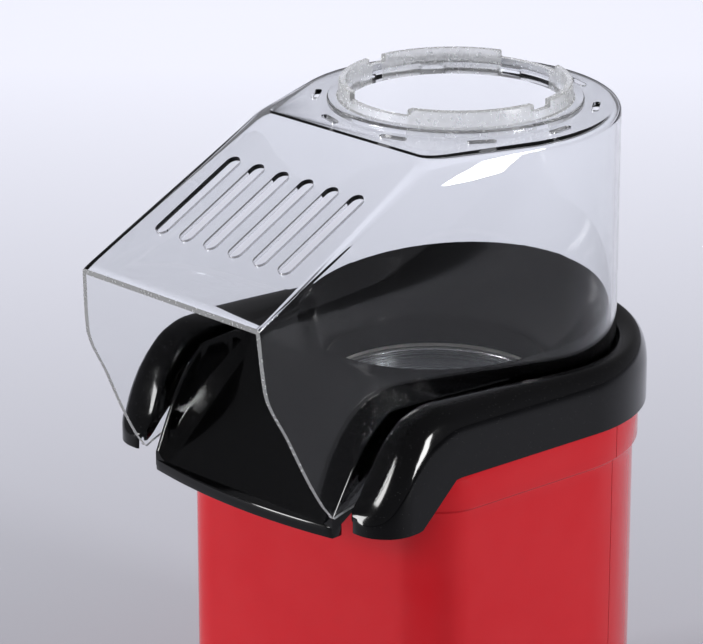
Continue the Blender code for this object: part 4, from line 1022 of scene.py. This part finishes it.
def cover_openings():
    """Cutters of the roof's slots, of the vents round the ring and of the dips between the ring's tabs."""
    sizes = chosen("cover")
    start, end = 23.5 * MM, 64 * MM
    run = end - start
    middle = (start + end) / 2
    slot = slot_solid("slot", run / math.cos(ROOF_SLOPE), sizes.slot_width, 8 * MM)
    moved(slot, turn=(0, 0, math.pi / 2))
    moved(slot, turn=(ROOF_SLOPE, 0, 0))
    first = (-(sizes.slots - 1) / 2 * sizes.slot_pitch, -CREASE_Y - middle,
             COVER_TOP - middle * math.tan(ROOF_SLOPE))
    slots = repeated("slots", row_tree(), slot, Count=sizes.slots, First=first,
                     Step=(sizes.slot_pitch, 0, 0))
    vent = moved(slot_solid("vent", 11 * MM, 2.8 * MM, 8 * MM), turn=(0, 0, math.pi / 2))
    vents = in_circle("vents", vent, sizes.vents, VENT_R, (0, 0, COVER_TOP))
    dips = []
    for x, y, angle in around(RING_R, 4):
        width = 30 * MM if abs(y) > abs(x) else 9 * MM
        dips.append(block("dip", (14 * MM, width, 5.8 * MM), (x, y, RING_TOP), (0, 0, angle),
                          rounding=0.8 * MM))
    return [slots, vents, *dips]


# -------- collar

COLLAR_H = 23.5 * MM
COLLAR_T = 2.2 * MM
COLLAR_STEPS = 40                        # along the back's quarter and along each side
WING_STEPS = 26                          # round a wing's tip
RISE_START = 6.3 * MM                    # the lower edge rises ahead of here, from the body's front
LEDGE_Z = COLLAR_Z + 11.1 * MM
LEDGE_W = 2.7 * MM
LEDGE_T = 2.4 * MM
WING_CORNER = 14 * MM
WING_GAP = 3.5 * MM


def collar_bottom(y):
    rise = chosen("body").front - RISE_START
    if y > -rise:
        return COLLAR_Z + COLLAR_SLOPE * y
    line = [(-rise, COLLAR_Z - COLLAR_SLOPE * rise), (-WING_FOOT_Y, WING_FOOT_Z), (-WING_FRONT, WING_FOOT_Z)]
    return follow(line, y)


def collar_crest(y):
    """Height of the top edge: level behind, rising forward, then sweeping down along the wing."""
    rise = COLLAR_Z + COLLAR_H
    line = [
        (0.3, rise), (WING_FRONT + 30 * MM, rise + 0.4 * MM), (WING_FRONT, rise + 1.5 * MM),
        (62.5 * MM, rise + 5.5 * MM),
        (34 * MM, rise + 7.3 * MM), (24.5 * MM, rise + 5 * MM), (16.5 * MM, rise - 1.5 * MM),
        (10.5 * MM, rise - 11 * MM), (4.5 * MM, rise - 23 * MM), (0, WING_FOOT_Z + 6 * MM),
    ]
    return smooth(line, y + WING_FRONT)


def beside_cover(y):
    """The collar's inner edge: it follows the cover's foot, with more room at the wing."""
    foot = [(p.y, p.x) for p in cover_half(COVER_FOOT) if p.x > 0.01]
    part = max(0, min(1, y / (WING_CORNER - WING_FRONT)))
    return Vector((follow(foot, y) + 2 * GAP + (WING_GAP - 2 * GAP) * part, y))


def collar_paths():
    """Matching points on the outer and inner edge, from the middle of the back to the right wing's tip."""
    outer = [Vector(p) for p in arc(0, 0, COLLAR_R, 90, 0, COLLAR_STEPS)]
    inner = [Vector(p) for p in arc(0, 0, COVER_R + 2 * GAP, 90, 0, COLLAR_STEPS)]
    side = WING_FRONT - WING_CORNER
    for i in range(1, COLLAR_STEPS):
        y = -side * i / COLLAR_STEPS
        outer.append(Vector((COLLAR_R, y)))
        inner.append(beside_cover(y))
    corner = [Vector(p) for p in arc(COLLAR_R - WING_CORNER, -side, WING_CORNER, 0, -90, WING_STEPS)]
    corner.append(Vector((beside_cover(-WING_FRONT).x + 3 * MM, -WING_FRONT)))
    for i, point in enumerate(corner):
        part = i / (len(corner) - 1)
        outer.append(point)
        inner.append(beside_cover(-side - part * (WING_CORNER - 2 * MM)))
    return list(zip(outer, inner))


def collar_profile(ledge, side):
    """The hollow section's corners, as (part across, part up, lowered)."""
    outside = [(0, 0, 0), (0, 0.2, 0), (0, 0.4, 0)]
    for i in range(1, 13):
        angle = math.pi / 2 * i / 12
        outside.append((0.46 * (1 - math.cos(angle)), 0.5 + 0.5 * math.sin(angle) ** 0.95, 0))
    outside += [(0.62, 0.995, 0), (0.78, 0.975, 0), (0.9, 0.95, 0), (0.97, 0.925, 0), (1, 0.88, 0)]
    edge = [(1, "ledge", -1), (1 + ledge, "ledge", -1), (1 + ledge, "ledge", 0), (1 - side, "ledge", 0)]
    inside = [(1 - side, 0.88, 1), (0.46, 1, 1), (0.22 + side / 2, 0.94, 1), (side + 0.03, 0.6, 0),
              (side, 0, 0)]
    return outside + edge + inside


def collar_point(outer, inner, across, up, lowered):
    spot = outer + (inner - outer) * across
    low = collar_bottom(spot.y)
    height = max(collar_crest(spot.y) - low, 5 * MM)
    if up == "ledge":
        level = min(LEDGE_Z, low + 0.45 * height)
        return spot.x, spot.y, level - lowered * min(LEDGE_T, 0.2 * height)
    return spot.x, spot.y, low + up * height - lowered * min(COLLAR_T, 0.4 * height)


def make_collar():
    rise = chosen("body").front - RISE_START
    half = []
    for outer, inner in collar_paths():
        width = (outer - inner).length
        side = min(COLLAR_T / width, 0.3)
        ledge = LEDGE_W / width if outer.y > -0.8 * rise else 0.02
        half.append([collar_point(outer, inner, *corner) for corner in collar_profile(ledge, side)])
    left = [[(-x, y, z) for x, y, z in ring] for ring in reversed(half[1:])]
    collar = skin("collar_finish", left + half)
    ready(collar, finish(black_abs), "machine", ["collar"], sharp=40)


# -------- bowl and chute

THROAT_R = 43 * MM
THROAT_Z = LEDGE_Z + 5.4 * MM
THROAT_FOOT = THROAT_Z - 12.5 * MM
BOWL_T = 2.2 * MM
SKIRT_R = COVER_R - 2.6 * MM
RIM_R = SKIRT_R - 0.7 * MM
RIM_Y = -1.6 * MM
RIM_Z = LEDGE_Z + 22.4 * MM
RIM_TILT = 0.1
FLANGE_R = 56 * MM
LIP_HALF = TIP_X - 3.8 * MM
LIP_Y = WING_FRONT - 0.1 * MM
LIP_BOW = 4.6 * MM
LIP_Z = COLLAR_Z - 12.9 * MM
LIP_T = 4.2 * MM
CHUTE_WALL = 1.8 * MM


def tilted_circle(radius, centre_y, height, tilt):
    return [(x, y, height + tilt * y) for x, y in arc(0, centre_y, radius, 0, 360, 120)[:-1]]


def bowl_inside():
    """Rings of the funnel, from the throat's edge to the rolled rim."""
    line = [(0, 0), (0.1, 0.04), (0.36, 0.2), (0.66, 0.5), (0.86, 0.8), (0.96, 0.96), (1, 1)]
    rings = []
    for i in range(21):
        part = i / 20
        rings.append((
            THROAT_R + (RIM_R - THROAT_R) * part, CORE_Y + (RIM_Y - CORE_Y) * part,
            THROAT_Z + (RIM_Z - THROAT_Z) * smooth(line, part), RIM_TILT * part,
        ))
    return rings


def make_bowl():
    inside = bowl_inside()
    flange = LEDGE_Z + LEDGE_T + GAP + BOWL_T
    out = COVER_R + GAP
    tube = THROAT_R + BOWL_T
    rings = [
        (THROAT_R, CORE_Y, THROAT_FOOT, 0), (THROAT_R, CORE_Y, THROAT_Z - 1.2 * MM, 0),
        (THROAT_R + 0.25 * MM, CORE_Y, THROAT_Z - 0.4 * MM, 0), *inside[1:],
        (SKIRT_R - 0.2 * MM, RIM_Y + 0.8 * MM, RIM_Z - 0.3 * MM, RIM_TILT),
        (SKIRT_R, RIM_Y + 1.2 * MM, RIM_Z - 1.2 * MM, RIM_TILT),
        (SKIRT_R, 0, RIM_Z - 3.5 * MM, RIM_TILT), (SKIRT_R, 0, flange, 0),
        (out, 0, flange, 0), (out, 0, flange - BOWL_T, 0), (SKIRT_R - BOWL_T, 0, flange - BOWL_T, 0),
        (SKIRT_R - 2 * BOWL_T, RIM_Y, RIM_Z - 4 * BOWL_T, RIM_TILT),
        (tube + BOWL_T, CORE_Y, THROAT_Z - 1 * MM, 0), (tube, CORE_Y, THROAT_Z - 3 * MM, 0),
        (tube, CORE_Y, THROAT_FOOT + BOWL_T, 0), (FLANGE_R, CORE_Y, THROAT_FOOT + BOWL_T, 0),
        (FLANGE_R, CORE_Y, THROAT_FOOT, 0),
    ]
    bowl = skin("bowl_and_chute_finish", [tilted_circle(*ring) for ring in rings], closed=True)
    space = [tilted_circle(radius + 0.4 * BOWL_T, *rest) for radius, *rest in inside]
    space.append(tilted_circle(RIM_R + 0.4 * BOWL_T, RIM_Y, RIM_Z + 40 * MM, 0))
    chute = chute_channel()
    combine(chute, skin("space", space))
    combine(bowl, chute, chute_lip(), chute_apron(), operation="UNION")
    drill(bowl, 12 * MM, *[(x, y, THROAT_FOOT) for x, y, _ in around(TIE_R, 3, 90, CORE_Y)])
    ready(bowl, finish(black_abs), "machine", ["bowl_and_chute"], sharp=28)


def chute_half(y):
    rear, rear_y = SKIRT_R - 1 * MM, -6.4 * MM
    return rear + (y - rear_y) * (rear - LIP_HALF) / (LIP_Y + rear_y)


def chute_floor(y):
    """The floor leaves the bowl's front rim, drops steeply, then runs down to the lip."""
    rim = RIM_Z - 9 * MM
    line = [
        (30 * MM - SKIRT_R, rim), (-SKIRT_R, rim - 0.5 * MM), (-SKIRT_R - 4 * MM, rim - 3 * MM),
        (-SKIRT_R - 11 * MM, THROAT_Z - 0.4 * MM), (-LIP_Y, LIP_Z),
    ]
    return smooth(line, y)


def chute_top(y):
    crest = RIM_Z - 7 * MM
    line = [
        (82 * MM, crest - 1 * MM), (28 * MM, crest), (20 * MM, crest - 5 * MM), (12 * MM, crest - 14 * MM),
        (6 * MM, crest - 24 * MM), (0, LIP_Z + 4 * MM),
    ]
    return smooth(line, y + LIP_Y)


def chute_section(y):
    half = chute_half(y)
    floor = chute_floor(y)
    top = chute_top(y)
    rise = top - floor
    crease = half - min(7 * MM, 0.5 * rise + 3 * MM)
    right = [
        (crease - 1.2 * MM, floor), (crease - 0.3 * MM, floor + 0.15 * MM),
        (crease + 0.4 * MM, floor + 0.6 * MM),
        (half - 3.6 * MM, floor + 0.33 * rise), (half - 3.2 * MM, floor + 0.38 * rise),
        (half - CHUTE_WALL - 0.1 * MM, top - 1 * MM), (half - CHUTE_WALL + 0.3 * MM, top - 0.3 * MM),
        (half - 0.8 * MM, top), (half - 0.2 * MM, top - 0.3 * MM), (half, top - 0.9 * MM),
        (half, floor - BOWL_T),
    ]
    return [(x, y, z) for x, z in right] + [(-x, y, z) for x, z in reversed(right)]


def chute_channel():
    back = 30 * MM - SKIRT_R
    steps = 60
    places = [back + (-LIP_Y - back) * i / steps for i in range(steps + 1)]
    return skin("chute", [chute_section(y) for y in places])


def chute_lip():
    parts = [step / 16 for step in range(-16, 17)]
    bow = [(LIP_HALF * part, -LIP_Y - LIP_BOW * (1 - part * part)) for part in parts]
    outline = [(LIP_HALF, -LIP_Y + 5 * MM), (-LIP_HALF, -LIP_Y + 5 * MM)] + bow
    return rounded(prism("lip", outline, LIP_Z - LIP_T, LIP_Z + 0.3 * MM), 0.5 * MM)


def chute_apron():
    sizes = chosen("body")
    thick = 1.8 * MM
    y = -sizes.front - sizes.band_outset - GAP - thick / 2
    top = chute_floor(y) - BOWL_T / 2
    return block("apron", (2 * chute_half(y), thick, top - BOWL_FOOT_Z), (0, y, (top + BOWL_FOOT_Z) / 2))


# -------- popping chamber

LOUVRES = 16


def make_chamber():
    top, floor, wall, bend = CHAMBER_TOP, CHAMBER_FLOOR, 1.2 * MM, 5 * MM
    dome = 6 * MM
    radius = THROAT_R + 0.4 * MM
    outer = [(radius - bend + bend * math.cos(a), floor + bend - bend * math.sin(a))
             for a in [math.pi / 2 * i / 8 for i in range(9)]]
    inner = [(r - wall * (r - radius + bend) / bend, z + wall * (floor + bend - z) / bend) for r, z in outer]
    peak = floor + dome
    profile = [
        (radius - wall, top - 1 * MM), (radius - wall + 0.4 * MM, top - 0.2 * MM), (radius + 0.2 * MM, top),
        (FLANGE_R, top), (FLANGE_R, top - wall), (radius, top - wall), *outer,
        (14 * MM, floor), (12.5 * MM, floor + 1.2 * MM), (11 * MM, peak - 0.8 * MM),
        (9.5 * MM, peak), (0, peak), (0, peak + wall), (10 * MM, peak + wall),
        (11.8 * MM, peak + 0.3 * MM), (13.4 * MM, floor + 2.2 * MM), (15 * MM, floor + wall),
        *reversed(inner),
    ]
    chamber = turned("popping_chamber_finish", profile, CORE_Y)
    slot = block("louvre", (8 * MM, 2.4 * MM, 9 * MM), (0, 0, 0), (math.radians(20), 0, 0), 0.9 * MM)
    slots = in_circle("louvres", slot, LOUVRES, radius, (0, CORE_Y, floor + 14 * MM))
    combine(chamber, slots)
    drill(chamber, 6 * MM, *[(x, y, top) for x, y, _ in around(TIE_R, 3, 90, CORE_Y)])
    spun = finish(spun_metal, "spun_aluminium", "D9DBDE", 0.24, 0.5 * MM)
    ready(chamber, spun, "machine", ["popping_chamber"])


# -------- switch and cord inlet

SWITCH_W = 15 * MM
SWITCH_H = 21 * MM
SWITCH_DEPTH = 14 * MM
ROCKER_W = 11 * MM
ROCKER_H = 16 * MM
ROCKER_R = 4.4 * MM
ROCKER_TILT = math.radians(7)
GLAND_R = 7 * MM
GLAND_BORE = 3.4 * MM
GLAND_WALL = 1.6 * MM


def make_switch():
    face = body_radius() + GAP
    housing = block("switch_housing_finish", (SWITCH_W, SWITCH_DEPTH, SWITCH_H),
                    (0, face - SWITCH_DEPTH / 2, SWITCH_Z), rounding=0.4 * MM)
    flange = block("flange", (SWITCH_W + 3 * MM, 1.6 * MM, SWITCH_H + 3 * MM),
                   (0, face + 0.75 * MM, SWITCH_Z), rounding=0.6 * MM)
    combine(housing, flange, operation="UNION")
    pocket = (ROCKER_W + 2 * GAP, 2.5 * ROCKER_R, ROCKER_H + 1.6 * MM)
    combine(housing, block("pocket", pocket, (0, face, SWITCH_Z), rounding=0.3 * MM))
    ready(housing, finish(textured_polypropylene), "machine", ["switch_housing"])
    make_rocker(face)


def make_rocker(face):
    """The rocker's two faces meet in a hollow, and one end stands proud."""
    outline = arc(0, 0, ROCKER_R, 200, 340, 20) + [(ROCKER_H / 2, 1 * MM), (ROCKER_H / 2, 2.6 * MM)]
    dish = 14
    for i in range(1, dish):
        part = 1 - 2 * i / dish
        outline.append((ROCKER_H / 2 * part, 1.3 * MM + 1.3 * MM * abs(part) ** 1.4))
    outline += [(-ROCKER_H / 2, 2.6 * MM), (-ROCKER_H / 2, 1 * MM)]
    rocker = rounded(prism("power_rocker_finish", outline, -ROCKER_W / 2, ROCKER_W / 2, "X"), 0.35 * MM)
    moved(rocker, turn=(math.pi / 2 + ROCKER_TILT, 0, 0))
    rocker.data.transform(Matrix.Rotation(math.pi, 4, "Z"))
    moved(rocker, (0, face, SWITCH_Z))
    ready(rocker, finish(black_abs), "rocker", ["power_rocker"])


def make_gland():
    ring = GLAND_BORE + GLAND_WALL
    wall = chosen("body").wall
    rounding = 0.9 * MM
    profile = [(GLAND_BORE, 2.4 * MM), (GLAND_BORE + 0.6 * MM, 3 * MM)]
    profile += arc(GLAND_R - rounding, 3 * MM - rounding, rounding, 90, 0, 5)
    profile += [(GLAND_R, GAP + 0.3 * MM), (ring, GAP + 0.3 * MM), (ring, -wall - 2 * GAP)]
    profile += [(GLAND_R - 0.5 * MM, -wall - 2 * GAP), (GLAND_R - 0.5 * MM, -wall - 2 * MM)]
    profile += [(GLAND_BORE, -wall - 2 * MM)]
    gland = turned("cord_gland_finish", profile, steps=64)
    moved(gland, turn=(-math.pi / 2, 0, 0))
    moved(gland, (0, body_radius(), GLAND_Z))
    rubber = finish(black_rubber)
    ready(gland, rubber, "machine", ["cord_gland"])


# -------- inner parts, which keep their design shapes

def paint_inner_parts():
    """Gives the parts inside the body their real materials. Their shapes are the design's own."""
    looks = {
        "chamber_gasket": finish(soft_rubber, "silicone_moulding", "D8D6CE", 0.55),
        "air_duct": finish(spun_metal, "rolled_steel_sheet", "AEB1B5", 0.34, 1.2 * MM),
        "mica_board_long": finish(mica_board),
        "mica_board_cross": finish(mica_board),
        "heating_coil": finish(oxidised_wire),
        "thermostat": finish(gloss_phenolic),
        "thermal_fuse": finish(plated_steel),
        "motor_deck": finish(textured_polypropylene),
        "motor": finish(plated_steel),
        "motor_shaft": finish(plated_steel),
        "fan": finish(natural_nylon),
        "rectifier_board": finish(paper_laminate),
    }
    looks.update({f"diode_{i + 1}": finish(gloss_phenolic) for i in range(4)})
    for name, look in looks.items():
        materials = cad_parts[name].data.materials
        for index in range(len(materials)):
            materials[index] = look
        if not materials:
            materials.append(look)


# -------- stage

# name, place, what it points at, width, height, watts, whether it shows in gloss and through clear pieces
LAMPS = (
    ("side_right", (1.25, 0.25, 0.42), (0, 0, 0.18), 0.24, 0.42, 11, True),
    ("front_left", (-0.75, -1.35, 0.45), (0, 0, 0.18), 0.34, 0.8, 20, True),
    ("floor_wash", (-1.0, 1.0, 2.0), (-0.3, 0.3, 0), 1.6, 1.6, 66, False),
)
FLOOR_REACH = 6
CAMERA_SPOT = (0.96906, -0.98821, 0.69591)
CAMERA_TURN = (math.radians(70), 0, math.radians(45))
LENS = 199.86


def softbox(name, at, look_at, width, height, power, shows):
    """A rectangular studio lamp with an even face."""
    data = bpy.data.lights.new(name, "AREA")
    data.shape = "RECTANGLE"
    data.size = width
    data.size_y = height
    data.energy = power
    lamp = bpy.data.objects.new(name, data)
    bpy.context.scene.collection.objects.link(lamp)
    lamp.location = at
    lamp.rotation_euler = (Vector(look_at) - Vector(at)).to_track_quat("-Z", "Y").to_euler()
    lamp.visible_glossy = shows
    lamp.visible_transmission = shows


def pale_floor():
    """Matt painted board. Its colour runs from a mid grey in front of the object to near white behind it:
    painted shade and light, standing in for the lamps' fall-off across the floor.
    """
    base = chosen("colours").floor
    made, tree, node, where = material("matt_board_with_painted_falloff", base, 0.85)
    # painted light fall-off: the floor's colour is darker in front of the object and brighter behind it
    painted_falloff_axis = add(tree, "ShaderNodeVectorMath", {0: where, 1: (-0.7071, 0.7071, 0)}, operation="DOT_PRODUCT")
    shade = rescaled(tree, painted_falloff_axis.outputs["Value"], -0.5, 1.0, 0.32, 0.62)
    vary_colour(tree, node, shade, mixed(base, BLACK, 0.85), base)
    return made


def paint_world(tree):
    """Even grey walls, a little darker towards the ceiling."""
    where = add(tree, "ShaderNodeTexCoord")
    axes = add(tree, "ShaderNodeSeparateXYZ", {"Vector": where.outputs["Generated"]})
    shade = ramp(tree, axes.outputs["Z"], 0.05, (0.2, 0.2, 0.22), 0.4, (0.16, 0.16, 0.17))
    tree.links.new(shade, tree.nodes["Background"].inputs["Color"])


def make_stage():
    bm = bmesh.new()
    bmesh.ops.create_grid(bm, x_segments=8, y_segments=8, size=FLOOR_REACH)
    floor = new_object("floor", bm)
    floor.data.materials.append(pale_floor())
    camera_data = bpy.data.cameras.new("camera")
    camera_data.lens = LENS
    camera_data.sensor_width = 36
    camera_data.sensor_fit = "HORIZONTAL"
    camera_data.clip_end = 30
    camera = bpy.data.objects.new("camera", camera_data)
    camera.location = CAMERA_SPOT
    camera.rotation_euler = CAMERA_TURN
    bpy.context.scene.collection.objects.link(camera)
    bpy.context.scene.camera = camera
    for lamp in LAMPS:
        softbox(*lamp)
    world = bpy.data.worlds.new("studio")
    world.use_nodes = True
    paint_world(world.node_tree)
    bpy.context.scene.world = world
    bpy.context.scene.view_settings.view_transform = "Standard"


# -------- operators, panel and registration

class MakeShells(bpy.types.Operator):
    """Make the two red half shells of the body"""
    bl_idname = "popcorn.make_shells"
    bl_label = "Red shells"

    def execute(self, context):
        make_shells()
        return {"FINISHED"}


class MakeBase(bpy.types.Operator):
    """Make the base plate with its posts and air slots"""
    bl_idname = "popcorn.make_base"
    bl_label = "Base plate"

    def execute(self, context):
        make_base()
        return {"FINISHED"}


class MakeFeet(bpy.types.Operator):
    """Make the four rubber feet"""
    bl_idname = "popcorn.make_feet"
    bl_label = "Feet"

    def execute(self, context):
        make_feet()
        return {"FINISHED"}


class MakeScrews(bpy.types.Operator):
    """Make all screws"""
    bl_idname = "popcorn.make_screws"
    bl_label = "Screws"

    def execute(self, context):
        make_screws()
        return {"FINISHED"}


class MakeCollar(bpy.types.Operator):
    """Make the black collar with its two wings"""
    bl_idname = "popcorn.make_collar"
    bl_label = "Collar"

    def execute(self, context):
        make_collar()
        return {"FINISHED"}


class MakeBowl(bpy.types.Operator):
    """Make the bowl, its throat and the chute"""
    bl_idname = "popcorn.make_bowl"
    bl_label = "Bowl and chute"

    def execute(self, context):
        make_bowl()
        return {"FINISHED"}


class MakeCover(bpy.types.Operator):
    """Make the clear cover with its ring, vents and slots"""
    bl_idname = "popcorn.make_cover"
    bl_label = "Clear cover"

    def execute(self, context):
        make_cover()
        return {"FINISHED"}


class MakeChamber(bpy.types.Operator):
    """Make the spun popping chamber with its air louvres"""
    bl_idname = "popcorn.make_chamber"
    bl_label = "Popping chamber"

    def execute(self, context):
        make_chamber()
        return {"FINISHED"}


class MakeSwitch(bpy.types.Operator):
    """Make the power switch and its rocker"""
    bl_idname = "popcorn.make_switch"
    bl_label = "Power switch"

    def execute(self, context):
        make_switch()
        return {"FINISHED"}


class MakeGland(bpy.types.Operator):
    """Make the grommet of the cord's inlet"""
    bl_idname = "popcorn.make_gland"
    bl_label = "Cord grommet"

    def execute(self, context):
        make_gland()
        return {"FINISHED"}


class PaintInnerParts(bpy.types.Operator):
    """Give the heater, fan, motor and other inner parts their materials"""
    bl_idname = "popcorn.paint_inner_parts"
    bl_label = "Inner parts"

    def execute(self, context):
        paint_inner_parts()
        return {"FINISHED"}


class MakeStage(bpy.types.Operator):
    """Make the floor, the lamps and the camera"""
    bl_idname = "popcorn.make_stage"
    bl_label = "Stage"

    def execute(self, context):
        make_stage()
        return {"FINISHED"}


OPERATORS = (
    MakeStage, MakeShells, MakeBase, MakeFeet, MakeScrews, MakeCollar, MakeBowl, MakeCover, MakeChamber,
    MakeSwitch, MakeGland, PaintInnerParts,
)


class PopcornPanel(bpy.types.Panel):
    """Lists the sizes, the colours and the steps"""
    bl_idname = "VIEW3D_PT_popcorn_maker"
    bl_label = "Popcorn maker"
    bl_space_type = "VIEW_3D"
    bl_region_type = "UI"
    bl_category = "Popcorn maker"

    def draw(self, context):
        scene = context.scene
        for group in (scene.popcorn_body, scene.popcorn_cover, scene.popcorn_colours):
            column = self.layout.column(align=True)
            for name in group.__annotations__:
                column.prop(group, name)
        for operator in OPERATORS:
            self.layout.operator(operator.bl_idname)


GROUPS = {
    "popcorn_body": PopcornBodySizes, "popcorn_cover": PopcornCoverSizes, "popcorn_colours": PopcornColours,
}


def register():
    for name, group in GROUPS.items():
        bpy.utils.register_class(group)
        setattr(bpy.types.Scene, name, bpy.props.PointerProperty(type=group))
    for item in (*OPERATORS, PopcornPanel):
        bpy.utils.register_class(item)


def unregister():
    for item in (PopcornPanel, *reversed(OPERATORS)):
        bpy.utils.unregister_class(item)
    for name, group in GROUPS.items():
        delattr(bpy.types.Scene, name)
        bpy.utils.unregister_class(group)


def main():
    register()
    for operator in OPERATORS:
        family, name = operator.bl_idname.split(".")
        getattr(getattr(bpy.ops, family), name)()


if __name__ == "__main__":
    main()
